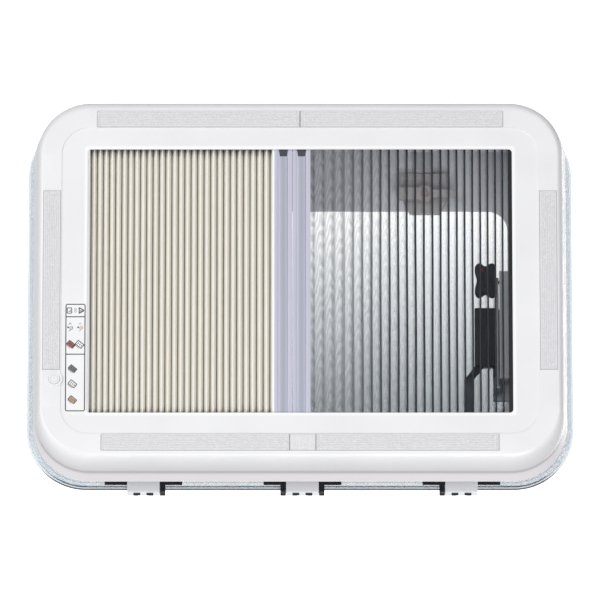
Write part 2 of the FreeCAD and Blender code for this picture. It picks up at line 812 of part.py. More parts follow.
def stay(side):
    """One sliding stay: its track on the frame, its arm and knob, and its bracket on the lid."""
    name = "left" if side < 0 else "right"
    slider = (arm_slider_y, hinge_level)
    slot_half = pivot_radius
    track_x = mirrored(side, shelf_edge + track_setback, shelf_edge + track_setback + track_width)
    track_y = (arm_slider_y - track_end, arm_slider_y + track_travel + track_end)
    shelf_top = shelf_level + shelf_thickness
    body = box(track_x, track_y, (shelf_top, shelf_top + track_height))
    slot = box(
        (track_x[0] - overshoot, track_x[1] + overshoot),
        (arm_slider_y - slot_half, arm_slider_y + track_travel + slot_half),
        (hinge_level - slot_half, hinge_level + slot_half),
    )
    node(cut(body, slot), f"stay_track_{name}")

    arm_x = mirrored(side, stay_plane, stay_plane + stay_thickness)
    bar = box(
        arm_x,
        (arm_slider_y, arm_pivot_y),
        (hinge_level - stay_half_width, hinge_level + stay_half_width),
    )
    ends = [
        cylinder("x", arm_x[0], y, hinge_level, stay_half_width, stay_thickness)
        for y in (arm_slider_y, arm_pivot_y)
    ]
    bores = [
        bore("x", arm_x[0], y, hinge_level, pivot_radius + run_gap, stay_thickness)
        for y in (arm_slider_y, arm_pivot_y)
    ]
    node(cut(fuse(bar, *ends), *bores), f"stay_arm_{name}")

    knob_x = mirrored(side, stay_plane - touch_gap - knob_length, stay_plane - touch_gap)
    pin_end = shelf_edge + track_setback + track_width - pin_setback
    pin_x = mirrored(side, stay_plane - touch_gap, pin_end)
    knob = cylinder("x", knob_x[0], *slider, knob_radius, knob_length)
    pin = cylinder("x", pin_x[0], *slider, pivot_radius - touch_gap, pin_x[1] - pin_x[0])
    node(fuse(knob, pin), f"stay_knob_{name}")

    ear_x = mirrored(side, bracket_web, stay_plane - touch_gap)
    ear_y = (arm_pivot_y - ear_half_width, arm_pivot_y + ear_half_width)
    plate_low = reveal_under - bracket_thickness
    ear_low = hinge_level - stay_half_width
    bracket = fuse(
        *bracket_outline(side, plate_low, reveal_under),
        *brace(side, plate_low, reveal_under),
        box(
            mirrored(side, bracket_inner, stay_plane - touch_gap),
            (bracket_front, bracket_block_rear),
            (reveal_under - bracket_depth, plate_low),
        ),
        box(ear_x, ear_y, (ear_low, plate_low)),
    )
    pivot_bore = bore("x", ear_x[0], arm_pivot_y, hinge_level, pivot_radius + run_gap, ear_thickness)
    node(cut(bracket, pivot_bore), f"stay_bracket_{name}")


def stay_rivets():
    """Pivot rivets between the stay brackets and the arms."""
    rivets = []
    for side in (-1, 1):
        outer = stay_plane + stay_thickness
        shank_x = mirrored(side, bracket_web, outer + touch_gap)
        head_x = mirrored(side, outer + touch_gap, outer + touch_gap + rivet_head_height)
        pivot = (arm_pivot_y, hinge_level)
        rivets.append(
            fuse(
                cylinder("x", shank_x[0], *pivot, pivot_radius, shank_x[1] - shank_x[0]),
                cylinder("x", head_x[0], *pivot, rivet_head_radius, rivet_head_height),
            )
        )
    node(fuse(*rivets), "stay_rivets")


# ---------------------------------------------------------------- latches
def latch(side):
    """One latch: housing on the lid, lever that turns under it, and the lever's push button."""
    name = "left" if side < 0 else "right"
    centre_x = side * latch_x
    housing_low = reveal_under - housing_height
    square = box(
        (centre_x - housing_half_width, centre_x + housing_half_width),
        (latch_y - housing_back, latch_y - housing_back + housing_square),
        (housing_low, reveal_under),
    )
    taper = wedge(
        (centre_x - housing_half_width, centre_x + housing_half_width),
        (latch_y - housing_back + housing_square, latch_y + housing_front),
        (housing_low, reveal_under),
        (centre_x - housing_narrow_half, centre_x + housing_narrow_half),
    )
    spindle_bore = bore("z", centre_x, latch_y, housing_low, spindle_radius + run_gap, spindle_length)
    node(cut(fuse(square, taper), spindle_bore), f"latch_base_{name}")

    hub_top = housing_low - touch_gap
    hub_low = hub_top - hub_height
    tongue_x = mirrored(side, latch_x, latch_x + tongue_length)
    tongue_y = (latch_y - tongue_half_width, latch_y + tongue_half_width)
    grip_x = mirrored(side, latch_x - grip_length, latch_x)
    grip_y = (latch_y - grip_half_width, latch_y + grip_half_width)
    lever = fuse(
        cylinder("z", centre_x, latch_y, hub_low, hub_radius, hub_height),
        cylinder("z", centre_x, latch_y, hub_top, spindle_radius, spindle_length),
        box(tongue_x, tongue_y, (hub_low, hub_low + tongue_height)),
        box(grip_x, grip_y, (hub_low, hub_low + grip_height)),
    )
    socket = cylinder(
        "z",
        centre_x,
        latch_y,
        hub_low - overshoot,
        button_radius + touch_gap,
        button_length + touch_gap + overshoot,
    )
    node(cut(lever, socket), f"latch_lever_{name}")
    button = cylinder("z", centre_x, latch_y, hub_low - button_rise, button_radius, button_length)
    node(button, f"latch_button_{name}")


def latch_keepers():
    """Two ledges on the coaming that the locked tongues sit under."""
    tongue_top = reveal_under - housing_height - touch_gap - hub_height + tongue_height
    low = tongue_top + keeper_gap
    inner_y = latch_y - tongue_length + keeper_bite
    ledges = [
        box(
            (side * latch_x - keeper_half_width, side * latch_x + keeper_half_width),
            (-well_width / 2, inner_y),
            (low, low + keeper_thickness),
        )
        for side in (-1, 1)
    ]
    node(fuse(*ledges), "latch_keepers")


# ---------------------------------------------------------------- room-side trim
def bevel_sections(inset, depth):
    """Outlines of the trim's rounded edge: a quarter ellipse from the crease to the face."""
    sections = []
    for step in range(BEVEL_STEPS, -1, -1):
        angle = math.pi / 2 * step / BEVEL_STEPS
        grow = math.sin(angle)
        sections.append(
            section(
                face_length + 2 * ((face_margin_x - flare_x) * grow - inset),
                face_width + 2 * ((face_margin_y - flare_y) * grow - inset),
                face_corner + (face_margin_x - flare_x) * grow - inset,
                crease - depth * math.cos(angle),
            )
        )
    return sections


def skirt(inset):
    """Flared band from the crease up to the ceiling."""
    foot = (
        trim_length - 2 * (flare_x + inset),
        trim_width - 2 * (flare_y + inset),
        trim_corner - flare_x - inset,
    )
    top = (trim_length - 2 * inset, trim_width - 2 * inset, trim_corner - inset)
    return loft([section(*foot, crease), section(*top, ceiling)], ruled=True)


def strip_pockets():
    """X and Y spans of the four strip pockets: front, rear, left and right."""
    front_x = (-front_strip_length / 2, front_strip_length / 2)
    rear_x = (-rear_strip_length / 2, rear_strip_length / 2)
    side_y = (-side_strip_length / 2, side_strip_length / 2)
    return [
        (front_x, mirrored(-1, strip_inner_y, strip_outer_y)),
        (rear_x, mirrored(1, strip_inner_y, strip_outer_y)),
        (mirrored(-1, strip_inner_x, strip_outer_x), side_y),
        (mirrored(1, strip_inner_x, strip_outer_x), side_y),
    ]


def interior_trim():
    """White room-side moulding with its panel, strip pockets and screw bosses."""
    outside = fuse(loft(bevel_sections(0, bevel_depth)), skirt(0))
    inside = fuse(loft(bevel_sections(trim_wall, bevel_depth - trim_face_wall)), skirt(trim_wall))
    additions = []
    removals = []
    for x, y in strip_pockets():
        grown_x = (x[0] - pocket_wall, x[1] + pocket_wall)
        grown_y = (y[0] - pocket_wall, y[1] + pocket_wall)
        additions.append(box(grown_x, grown_y, (face_middle, pocket_back)))
        removals.append(box(x, y, (room_face - overshoot, pocket_floor)))
    boss_base = pocket_floor + pocket_wall / 2
    for _, x, y in clamp_screw_places():
        additions.append(cylinder("z", x, y, boss_base, boss_radius, rail_top - boss_base))
        removals.append(bore("z", x, y, pocket_floor, screw_radius + touch_gap, rail_top - pocket_floor))
    mouth = (
        opening_length + 2 * opening_bevel,
        opening_width + 2 * opening_bevel,
        opening_corner + opening_bevel,
    )
    throat = (opening_length, opening_width, opening_corner)
    removals += [
        plate((panel_length, panel_width, panel_corner), room_face - overshoot, panel_face),
        loft([section(*mouth, panel_face), section(*throat, panel_face + opening_bevel)], ruled=True),
        plate(throat, panel_face, ring_back + overshoot),
        bore("z", switch_x, switch_y, room_face, bezel_neck_radius + touch_gap, trim_face_wall),
    ]
    node(cut(fuse(cut(outside, inside), *additions), *removals), "interior_trim")


def clamp_screws():
    """Screws from the strip pockets up into the outer frame's lugs."""
    screws = []
    head_low = pocket_floor - screw_head_height
    shank_length = screw_reach - spigot_depth - pocket_floor
    for _, x, y in clamp_screw_places():
        head = cylinder("z", x, y, head_low, screw_head_radius, screw_head_height)
        shank = cylinder("z", x, y, pocket_floor, screw_radius, shank_length)
        screws.append(fuse(head, shank))
    node(fuse(*screws), "clamp_screws")


# ---------------------------------------------------------------- lights
def strip_cover(x, y, label):
    """Channel-shaped diffuser that stands on its pocket's floor."""
    x = (x[0] + touch_gap, x[1] - touch_gap)
    y = (y[0] + touch_gap, y[1] - touch_gap)
    top = room_face - cover_rise
    hollow = box(
        (x[0] + cover_wall, x[1] - cover_wall),
        (y[0] + cover_wall, y[1] - cover_wall),
        (top + cover_wall, pocket_floor + overshoot),
    )
    node(cut(box(x, y, (top, pocket_floor)), hollow), label)


def light_board(x, y, chips, along_x):
    """Board on the pocket's floor with a row of light chips facing the room."""
    low = pocket_floor - board_thickness
    pieces = [box(x, y, (low, pocket_floor))]
    run = x if along_x else y
    middle = (y[0] + y[1]) / 2 if along_x else (x[0] + x[1]) / 2
    for count in range(int(chips.number)):
        place_on_run = run[0] + (run[1] - run[0]) * (count + 0.5) / int(chips.number)
        long_span = (place_on_run - chip_length / 2, place_on_run + chip_length / 2)
        short_span = (middle - chip_width / 2, middle + chip_width / 2)
        chip_x, chip_y = (long_span, short_span) if along_x else (short_span, long_span)
        pieces.append(box(chip_x, chip_y, (low - chip_height, low)))
    return fuse(*pieces)


def lights():
    """Diffusers and boards of the four light strips, with the joint cover at the hinge side."""
    front, rear, left, right = strip_pockets()
    joint = (rear_joint_shift - rear_joint_length / 2, rear_joint_shift + rear_joint_length / 2)
    strip_cover((front[0][0], -touch_gap / 2), front[1], "light_cover_front_left")
    strip_cover((touch_gap / 2, front[0][1]), front[1], "light_cover_front_right")
    strip_cover((rear[0][0], joint[0]), rear[1], "light_cover_rear_left")
    strip_cover((joint[1], rear[0][1]), rear[1], "light_cover_rear_right")
    strip_cover(joint, rear[1], "light_joint_cover")
    strip_cover(*left, "light_cover_left")
    strip_cover(*right, "light_cover_right")

    for side, label, inner_ends in (
        (-1, "light_boards_front", (0, 0)),
        (1, "light_boards_rear", joint),
    ):
        middle = side * ((strip_inner_y + strip_outer_y) / 2 + board_shift)
        span_y = (middle - board_width / 2, middle + board_width / 2)
        strip = front if side < 0 else rear
        left_x = (strip[0][0] + board_setback, inner_ends[0] - board_setback)
        right_x = (inner_ends[1] + board_setback, strip[0][1] - board_setback)
        boards = [light_board(span_x, span_y, long_board_chips, True) for span_x in (left_x, right_x)]
        node(fuse(*boards), label)
    for strip, label in ((left, "light_board_left"), (right, "light_board_right")):
        middle = (strip[0][0] + strip[0][1]) / 2
        span_x = (middle - board_width / 2, middle + board_width / 2)
        span_y = (strip[1][0] + board_setback, strip[1][1] - board_setback)
        node(light_board(span_x, span_y, side_board_chips, False), label)


def light_driver():
    """Driver box behind the rear strip, with the supply socket in its outer side."""
    low, high = pocket_back, rail_top - touch_gap
    y = (screw_y - driver_setback, screw_y - driver_setback + driver_width)
    case = box((-driver_length / 2, driver_length / 2), y, (low, high))
    middle = (low + high) / 2
    inlet = box(
        (-inlet_width / 2, inlet_width / 2),
        (y[1] - inlet_depth, y[1] + overshoot),
        (middle - inlet_height / 2, middle + inlet_height / 2),
    )
    node(cut(case, inlet), "light_driver")


def light_switch():
    """Round push switch in the trim's face."""
    rim_low = room_face - bezel_rim
    inner_radius = bezel_neck_radius - bezel_wall
    neck = cylinder("z", switch_x, switch_y, room_face, bezel_neck_radius, bezel_depth)
    rim = cylinder("z", switch_x, switch_y, rim_low, bezel_radius, bezel_rim)
    cup = cylinder(
        "z",
        switch_x,
        switch_y,
        rim_low - overshoot,
        inner_radius,
        overshoot + bezel_rim + bezel_depth - bezel_wall,
    )
    node(cut(fuse(neck, rim), cup), "switch_bezel")
    button_low = rim_low - switch_rise
    button_radius_free = inner_radius - touch_gap
    node(
        cylinder("z", switch_x, switch_y, button_low, button_radius_free, switch_length),
        "switch_button",
    )


def operating_label():
    """Plain instruction plate on the panel, between the opening and the left strip."""
    right_edge = -opening_length / 2 - opening_bevel - label_margin
    node(
        box(
            (right_edge - label_width, right_edge),
            (label_end - label_length, label_end),
            (panel_face - label_thickness, panel_face),
        ),
        "operating_label",
    )


# ---------------------------------------------------------------- shade cassette
def rail(side, label):
    """Channel along one long side, open towards the opening, in which the shades run."""
    body = box(
        (-cassette_half, cassette_half),
        mirrored(side, rail_mouth, rail_mouth + rail_depth),
        (ring_back, rail_top),
    )
    channel = box(
        (-cassette_half - overshoot, cassette_half + overshoot),
        mirrored(side, rail_mouth - overshoot, rail_mouth + rail_depth - rail_wall),
        (ring_back + rail_wall, rail_top - rail_wall),
    )
    node(cut(body, channel), label)


def cassette():
    """Ring that holds the rails down, with the duct that lines the well above the shades."""
    hole_length = 2 * (cassette_half - blind_profile_width + fabric_margin)
    hole_width = 2 * (rail_mouth + rail_depth - cassette_lap)
    ring = plate(
        (cassette_length, cassette_width, cassette_corner),
        rail_top,
        cassette_top,
        (hole_length, hole_width, opening_corner),
    )
    outer = (duct_length + 2 * duct_wall, duct_width + 2 * duct_wall, duct_corner + duct_wall)
    duct = plate(outer, rail_top, cassette_top + duct_height, (duct_length, duct_width, duct_corner))
    bores = [
        bore("z", x, y, rail_top, screw_radius + touch_gap, cassette_thickness)
        for _, x, y in clamp_screw_places()
    ]
    node(cut(fuse(ring, duct), *bores), "cassette_frame")


def end_profiles():
    """Fixed bars at the two ends of the cassette that the fabrics are fastened to."""
    y = (touch_gap - rail_mouth, rail_mouth - touch_gap)
    z = (ring_back, rail_top)
    node(box((-cassette_half, blind_profile_width - cassette_half), y, z), "blind_end_profile")
    node(box((cassette_half - screen_profile_width, cassette_half), y, z), "screen_end_profile")


def shade_levels(gap):
    """Low and high levels of what runs inside the rails with that much clearance."""
    return ring_back + rail_wall + gap, rail_top - rail_wall - gap


def pull_bar(x, label):
    """Hollow aluminium bar with two grooves along its room side."""
    low, high = shade_levels(touch_gap)
    body = box(x, (-bar_half_length, bar_half_length), (low, high))
    hollow = box(
        (x[0] + bar_wall, x[1] - bar_wall),
        (-bar_half_length - overshoot, bar_half_length + overshoot),
        (low + bar_wall + groove_depth, high - bar_wall),
    )
    grooves = [
        box(
            (start, start + groove_width),
            (-bar_half_length - overshoot, bar_half_length + overshoot),
            (low - overshoot, low + groove_depth),
        )
        for start in (x[0] + groove_inset, x[1] - groove_inset - groove_width)
    ]
    pocket = tongue((x[0] + x[1]) / 2, touch_gap, low - overshoot)
    node(cut(body, hollow, *grooves, pocket), label)


def tongue(middle, gap, low):
    """Tapered block over a bar's room face at its front end, wider all round by a gap."""
    half = slider_width / 2 + gap
    end = half - tongue_taper
    y = (-bar_half_length, tongue_reach + gap - bar_half_length)
    top = shade_levels(touch_gap)[0] + groove_depth
    return wedge((middle - half, middle + half), y, (low, top), (middle - end, middle + end))


def sliders(middle, label):
    """Two tapered end pieces of a pull bar, which run in the rails; the front one has a tongue."""
    low, high = shade_levels(touch_gap)
    half = slider_width / 2
    pieces = [tongue(middle, 0, low)]
    for side in (-1, 1):
        outer = (middle - half - slider_taper, middle + half + slider_taper)
        inner = (middle - half, middle + half)
        span = mirrored(side, bar_half_length, rail_mouth + rail_depth - rail_wall - touch_gap)
        ends = (outer, inner) if side < 0 else (inner, outer)
        pieces.append(wedge(ends[0], span, (low, high), ends[1]))
    node(fuse(*pieces), label)


def pleated_fabric(start, end, pleats, label):
    """Zigzag sheet that hangs between start and end along X."""
    low, high = [level.number for level in shade_levels(fabric_margin)]
    first, last = as_size(start).number, as_size(end).number
    pitch = (last - first) / (2 * pleats)
    slope = math.hypot(pitch, high - low) / pitch * fabric_thickness.number
    front = []
    for count in range(2 * pleats + 1):
        level = high - slope if count % 2 == 0 else low
        front.append(Vector(first + pitch * count, 0, level))
    back = [point + Vector(0, 0, slope) for point in reversed(front)]
    outline = Part.makePolygon(front + back + [front[0]])
    reach = rail_mouth.number + fabric_margin.number
    sheet_solid = Part.Face(outline).extrude(Vector(0, 2 * reach, 0))
    item = doc.addObject("Part::Feature", "Pleats")
    item.Shape = sheet_solid
    item.Placement.Base = Vector(0, -reach, 0)
    node(item, label)


def shades():
    """Blackout blind from the left and insect screen from the right, docked at their bars."""
    blind_bar = (bar_meeting - bar_gap / 2 - bar_width, bar_meeting - bar_gap / 2)
    screen_bar = (bar_meeting + bar_gap / 2, bar_meeting + bar_gap / 2 + bar_width)
    pull_bar(blind_bar, "blind_pull_bar")
    pull_bar(screen_bar, "screen_pull_bar")
    sliders((blind_bar[0] + blind_bar[1]) / 2, "blind_sliders")
    sliders((screen_bar[0] + screen_bar[1]) / 2, "screen_sliders")
    low, high = shade_levels(fabric_margin)
    clip = (blind_bar[0] - clip_width, blind_bar[0])
    node(box(clip, (-bar_half_length, bar_half_length), (low, high)), "blind_fabric_clip")
    blind_start = -cassette_half + blind_profile_width + touch_gap
    screen_end = cassette_half - screen_profile_width - touch_gap
    pleated_fabric(blind_start, clip[0] - touch_gap, int(blind_pleats.number), "blackout_blind")
    pleated_fabric(screen_bar[1] + touch_gap, screen_end, int(screen_pleats.number), "insect_screen")


# ---------------------------------------------------------------- assembly and export
roof_gasket()
outer_frame()
lid_seal()
outer_dome()
inner_dome()
lid_frame()
for number, station in enumerate(hinge_stations()):
    hinge(number, station)
hinge_fasteners()
for hand in (-1, 1):
    stay(hand)
    latch(hand)
stay_rivets()
latch_keepers()
interior_trim()
clamp_screws()
lights()
light_driver()
light_switch()
operating_label()
rail(-1, "rail_front")
rail(1, "rail_rear")
cassette()
end_profiles()
shades()

doc.recompute()

for item in doc.Objects:
    if "Invalid" in item.State or "Error" in item.State:
        raise RuntimeError(f"{item.Label} ({item.Name}) failed: {item.State}")
for item in NODES:
    if item.Shape.isNull() or not item.Shape.isValid() or not item.Shape.Solids:
        raise RuntimeError(f"{item.Label} has no valid solid")

os.makedirs("parts", exist_ok=True)
for item in NODES:
    item.Shape.exportStep(f"parts/{item.Label}.step")
print(f"{len(NODES)} sub-parts written")
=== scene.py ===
import json
import math
import random

import bmesh
import bpy
from mathutils import Matrix, Vector


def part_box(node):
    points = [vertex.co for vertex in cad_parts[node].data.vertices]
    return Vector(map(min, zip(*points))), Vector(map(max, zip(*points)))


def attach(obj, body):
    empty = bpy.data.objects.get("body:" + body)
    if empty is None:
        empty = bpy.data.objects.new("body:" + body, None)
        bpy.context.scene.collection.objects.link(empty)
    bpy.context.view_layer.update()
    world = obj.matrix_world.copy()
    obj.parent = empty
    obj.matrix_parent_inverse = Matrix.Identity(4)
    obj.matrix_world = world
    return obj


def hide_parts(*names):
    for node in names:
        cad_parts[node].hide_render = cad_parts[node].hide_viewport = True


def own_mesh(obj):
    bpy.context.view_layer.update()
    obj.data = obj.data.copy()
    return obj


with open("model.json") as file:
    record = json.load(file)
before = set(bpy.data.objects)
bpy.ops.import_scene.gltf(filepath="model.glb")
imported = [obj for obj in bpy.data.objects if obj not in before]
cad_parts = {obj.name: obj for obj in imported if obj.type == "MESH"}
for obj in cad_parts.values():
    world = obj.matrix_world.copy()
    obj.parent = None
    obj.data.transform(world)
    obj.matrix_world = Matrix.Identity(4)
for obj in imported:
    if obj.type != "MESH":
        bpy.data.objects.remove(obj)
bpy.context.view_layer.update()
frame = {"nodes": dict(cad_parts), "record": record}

# Lengths are in metres, in the frame of the CAD model: X along the long side, Y towards the
# hinges, Z up to the sky. The room is below the part, so the camera looks up at it.
MM = 0.001
SLOT_OF = {row["node"]: row["material_slot"] for row in frame["record"]["subparts"]}
COVERS = ("front_left", "front_right", "rear_left", "rear_right", "left", "right")
WHITE = (0.87, 0.865, 0.875)
BLACK = (0.018, 0.018, 0.022)
# Half the length and half the width of the clear opening in the trim.
OPENING = (308.5 * MM, 201 * MM)
# Radius of the dome's corners in plan.
DOME_CORNER = 88 * MM
# Height of the crease where the trim's rounded edge meets its flared band.
CREASE = -60 * MM
# Distance from the middle at which the trim's hinge side begins.
HINGE_SIDE = 220 * MM
# How far an added detail sinks into the face that it stands on.
SINK = 0.02 * MM


# ---------------------------------------------------------------- material helpers
def surface(name, colour, roughness, **sockets):
    """Principled material with plain values on its own sockets."""
    made = bpy.data.materials.new(name)
    made.use_nodes = True
    shader = made.node_tree.nodes["Principled BSDF"]
    shader.inputs["Base Color"].default_value = (*colour, 1)
    shader.inputs["Roughness"].default_value = roughness
    for socket, amount in sockets.items():
        shader.inputs[socket.replace("_", " ")].default_value = amount
    return made


def add(made, kind, **inputs):
    """New node of a material, with some of its inputs set or linked."""
    node = made.node_tree.nodes.new(kind)
    for name, source in inputs.items():
        target = node.inputs[name.replace("_", " ")]
        if isinstance(source, bpy.types.NodeSocket):
            made.node_tree.links.new(source, target)
        else:
            target.default_value = source
    return node


def feed(made, source, socket):
    """Link a value or colour to the material's shader."""
    shader = made.node_tree.nodes["Principled BSDF"]
    made.node_tree.links.new(source, shader.inputs[socket])


def place_of(made):
    """Object coordinates, which are the CAD model's own."""
    return made.node_tree.nodes.new("ShaderNodeTexCoord").outputs["Object"]


def stretched(made, x=1, y=1, z=1):
    """Object coordinates, scaled along each axis."""
    return add(made, "ShaderNodeMapping", Vector=place_of(made), Scale=(x, y, z)).outputs["Vector"]


def along(made, axis):
    """One object coordinate."""
    return add(made, "ShaderNodeSeparateXYZ", Vector=place_of(made)).outputs[axis]


def maths(made, operation, *sources):
    """Result of a Math node on links and plain numbers."""
    node = made.node_tree.nodes.new("ShaderNodeMath")
    node.operation = operation
    for socket, source in zip(node.inputs, sources):
        if isinstance(source, bpy.types.NodeSocket):
            made.node_tree.links.new(source, socket)
        else:
            socket.default_value = source
    return node.outputs[0]


def off_rectangle(made, centre, half, corner=0):
    """Distance from a rounded rectangle in the XY plane: positive outside it, negative inside."""
    gaps = []
    for axis, middle, reach in zip("XY", centre, half):
        away = off_level(made, along(made, axis), middle)
        gaps.append(maths(made, "SUBTRACT", away, reach - corner))
    inside = maths(made, "MINIMUM", maths(made, "MAXIMUM", *gaps), 0)
    squares = [maths(made, "POWER", maths(made, "MAXIMUM", gap, 0), 2) for gap in gaps]
    outside = maths(made, "SQRT", maths(made, "ADD", *squares))
    return maths(made, "SUBTRACT", maths(made, "ADD", inside, outside), corner)


def noise(made, vector, scale, detail=3):
    """Smooth noise from 0 to 1."""
    node = add(made, "ShaderNodeTexNoise", Vector=vector, Scale=scale, Detail=detail)
    return node.outputs["Fac"]


def spread(made, source, low, high, dark, light):
    """Map source from low..high to dark..light."""
    node = add(
        made, "ShaderNodeMapRange", Value=source,
        From_Min=low, From_Max=high, To_Min=dark, To_Max=light,
    )
    return node.outputs["Result"]


def times(made, *sources):
    """Product of links and plain numbers."""
    product = sources[0]
    for source in sources[1:]:
        product = maths(made, "MULTIPLY", product, source)
    return product


def off_level(made, source, level):
    """Distance of a value from a level, on either side."""
    return maths(made, "ABSOLUTE", maths(made, "SUBTRACT", source, level))


def middle_of(node):
    """Middle of a CAD node's box."""
    low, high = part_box(node)
    return (low + high) / 2


def ramp(made, source, stops):
    """Colour that follows source through stops of (place, colour)."""
    node = add(made, "ShaderNodeValToRGB", Fac=source)
    band = node.color_ramp
    while len(band.elements) < len(stops):
        band.elements.new(0.5)
    for element, (place, colour) in zip(band.elements, stops):
        element.position = place
        element.color = (*colour, 1)
    return node.outputs["Color"]


def emboss(made, height, strength, depth):
    """Bump from a height, added to the bump that the material already has."""
    shader = made.node_tree.nodes["Principled BSDF"]
    before = shader.inputs["Normal"].links[0].from_socket if shader.inputs["Normal"].links else None
    node = add(made, "ShaderNodeBump", Height=height, Strength=strength, Distance=depth)
    if before:
        made.node_tree.links.new(before, node.inputs["Normal"])
    feed(made, node.outputs["Normal"], "Normal")


def lay_over(made, factor, colour):
    """Lay a second colour over the base colour, fully where factor is 1."""
    shader = made.node_tree.nodes["Principled BSDF"]
    node = made.node_tree.nodes.new("ShaderNodeMix")
    node.data_type = "RGBA"
    made.node_tree.links.new(factor, node.inputs[0])
    made.node_tree.links.new(shader.inputs["Base Color"].links[0].from_socket, node.inputs[6])
    node.inputs[7].default_value = (*colour, 1)
    feed(made, node.outputs[2], "Base Color")


def shade_of(colour, factor):
    """A colour made lighter or darker."""
    return tuple(min(1, part * factor) for part in colour)


def mottle(made, colour, amount, scale):
    """Faint uneven colour, as moulded and handled parts have."""
    source = noise(made, stretched(made), scale)
    stops = [(0.3, shade_of(colour, 1 - amount)), (0.7, shade_of(colour, 1 + amount))]
    feed(made, ramp(made, source, stops), "Base Color")


def uneven_gloss(made, low, high, scale):
    """Roughness that drifts over the surface."""
    source = noise(made, stretched(made), scale, 5)
    feed(made, spread(made, source, 0.3, 0.7, low, high), "Roughness")


# ---------------------------------------------------------------- materials, one per slot
def moulded(name, colour, gloss, grain, grain_depth, **sockets):
    """Moulded plastic: faint mottle, drifting gloss and a fine grain."""
    made = surface(name, colour, gloss, **sockets)
    mottle(made, colour, 0.025, 9)
    uneven_gloss(made, gloss * 0.85, gloss * 1.2, 25)
    emboss(made, noise(made, stretched(made), grain, 4), 0.35, grain_depth)
    return made


def drawn_lines(made, axis, colour, dark, light):
    """Fine lines along one axis, which shade the base colour between two factors."""
    scales = [6 if name == axis else 900 for name in "xyz"]
    lines = noise(made, stretched(made, *scales), 1, 4)
    stops = [(0.25, shade_of(colour, dark)), (0.75, shade_of(colour, light))]
    feed(made, ramp(made, lines, stops), "Base Color")
    return lines


def drawn_metal(name, colour, gloss, axis):
    """Metal with fine lines along one axis, from rolling or brushing."""
    made = surface(name, colour, gloss, Metallic=1.0)
    lines = drawn_lines(made, axis, colour, 0.9, 1.06)
    feed(made, spread(made, lines, 0.3, 0.7, gloss * 0.8, gloss * 1.3), "Roughness")
    emboss(made, lines, 0.25, 0.05 * MM)
    return made


def foam(name, colour, cell_scale, depth):
    """Rubber or foam with small closed cells."""
    made = surface(name, colour, 0.75)
    mottle(made, colour, 0.15, 60)
    cells = add(made, "ShaderNodeTexVoronoi", Vector=stretched(made), Scale=cell_scale)
    emboss(made, cells.outputs["Distance"], 0.5, depth)
    return made


def trim_plastic(name):
    """White moulded trim, with a painted highlight on its opening's lip, painted light on its
    flared band and, away from the hinges, on its rounded edge, and painted shade in the crease of
    its edge at the hinges.
    """
    made = moulded(name, WHITE, 0.34, 500, 0.03 * MM, Coat_Weight=0.15, Coat_Roughness=0.25)
    # Painted highlight on the lip round the opening.
    lip_highlight = spread(made, off_rectangle(made, (0, 0), OPENING), 3 * MM, 6 * MM, 1, 0)
    lay_over(made, lip_highlight, (0.98, 0.98, 0.98))
    level = along(made, "Z")
    # Painted light on the flared band above the crease.
    flare_light = spread(made, level, CREASE, CREASE + 12 * MM, 0, 0.8)
    lay_over(made, flare_light, (0.99, 0.95, 0.965))
    at_hinges = spread(made, along(made, "Y"), HINGE_SIDE - 20 * MM, HINGE_SIDE + 20 * MM, 0, 1)
    # Painted shade in the crease of the edge, on the hinge side.
    painted_shade = spread(made, off_level(made, level, CREASE), 1.5 * MM, 6 * MM, 0.8, 0)
    lay_over(made, times(made, painted_shade, at_hinges), (0.60, 0.53, 0.55))
    # Painted light on the rounded edge, away from the hinges.
    round_edge_light = spread(made, level, CREASE - 36 * MM, CREASE - 12 * MM, 0, 0.9)
    off_hinges = maths(made, "SUBTRACT", 1, at_hinges)
    lay_over(made, times(made, round_edge_light, off_hinges), (0.98, 0.975, 0.985))
    return made


def acrylic(name, colour, opacity):
    """Tinted clear pane, slightly wavy and dusty, with its opacity given by a node's output."""
    made = surface(name, colour, 0.06, IOR=1.49)
    mottle(made, colour, 0.03, 6)
    feed(made, opacity(made), "Alpha")
    film = noise(made, stretched(made), 40, 2)
    feed(made, spread(made, film, 0.45, 0.75, 0.05, 0.14), "Roughness")
    emboss(made, noise(made, stretched(made), 7, 2), 0.1, 0.2 * MM)
    return made


def outer_opacity(made):
    """Deeper down the dome's skirt, with painted dark refraction lines along both edges of its rim
    at the hinges.
    """
    low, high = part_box("outer_dome")
    level = along(made, "Z")
    skirt = spread(made, level, low.z + 8 * MM, low.z + 25 * MM, 0.40, 0.15)
    edge = off_rectangle(made, (0, 0), (high.x, high.y), DOME_CORNER)
    # Painted dark refraction lines along both edges of the rim.
    lines = [
        spread(made, off_level(made, edge, -inset), 0.6 * MM, 1.4 * MM, 1, 0)
        for inset in (1 * MM, 5 * MM)
    ]
    hinge_side = spread(made, along(made, "Y"), high.y - 50 * MM, high.y - 12 * MM, 0, 0.9)
    low_down = spread(made, level, low.z + 3 * MM, low.z + 5 * MM, 1, 0)
    dark = times(made, maths(made, "MAXIMUM", *lines), hinge_side, low_down)
    lay_over(made, dark, (0.03, 0.04, 0.08))
    return maths(made, "MAXIMUM", skirt, dark)


# Middle of the painted shade on the lower pane, which is as large as the opening.
SHADE_MIDDLE = (0, -20 * MM)


def inner_opacity(made):
    """Painted shade that makes the pane hazier towards the hinges, and clearer towards the rim."""
    low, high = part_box("inner_dome")
    # Painted shade: the pane turns more opaque towards the hinges, most of all within the opening.
    painted_shade = spread(made, along(made, "Y"), low.y * 0.5, high.y * 0.7, 0.05, 0.52)
    window = off_rectangle(made, SHADE_MIDDLE, OPENING, DOME_CORNER / 2)
    shade_over_window = times(made, painted_shade, spread(made, window, 0, 30 * MM, 1, 0.2))
    skirt = spread(made, along(made, "Z"), low.z, low.z + 10 * MM, 0.16, 0)
    return maths(made, "MAXIMUM", shade_over_window, skirt)


COVER_OPACITY = 0.85
RIB_OPACITY = 0.5


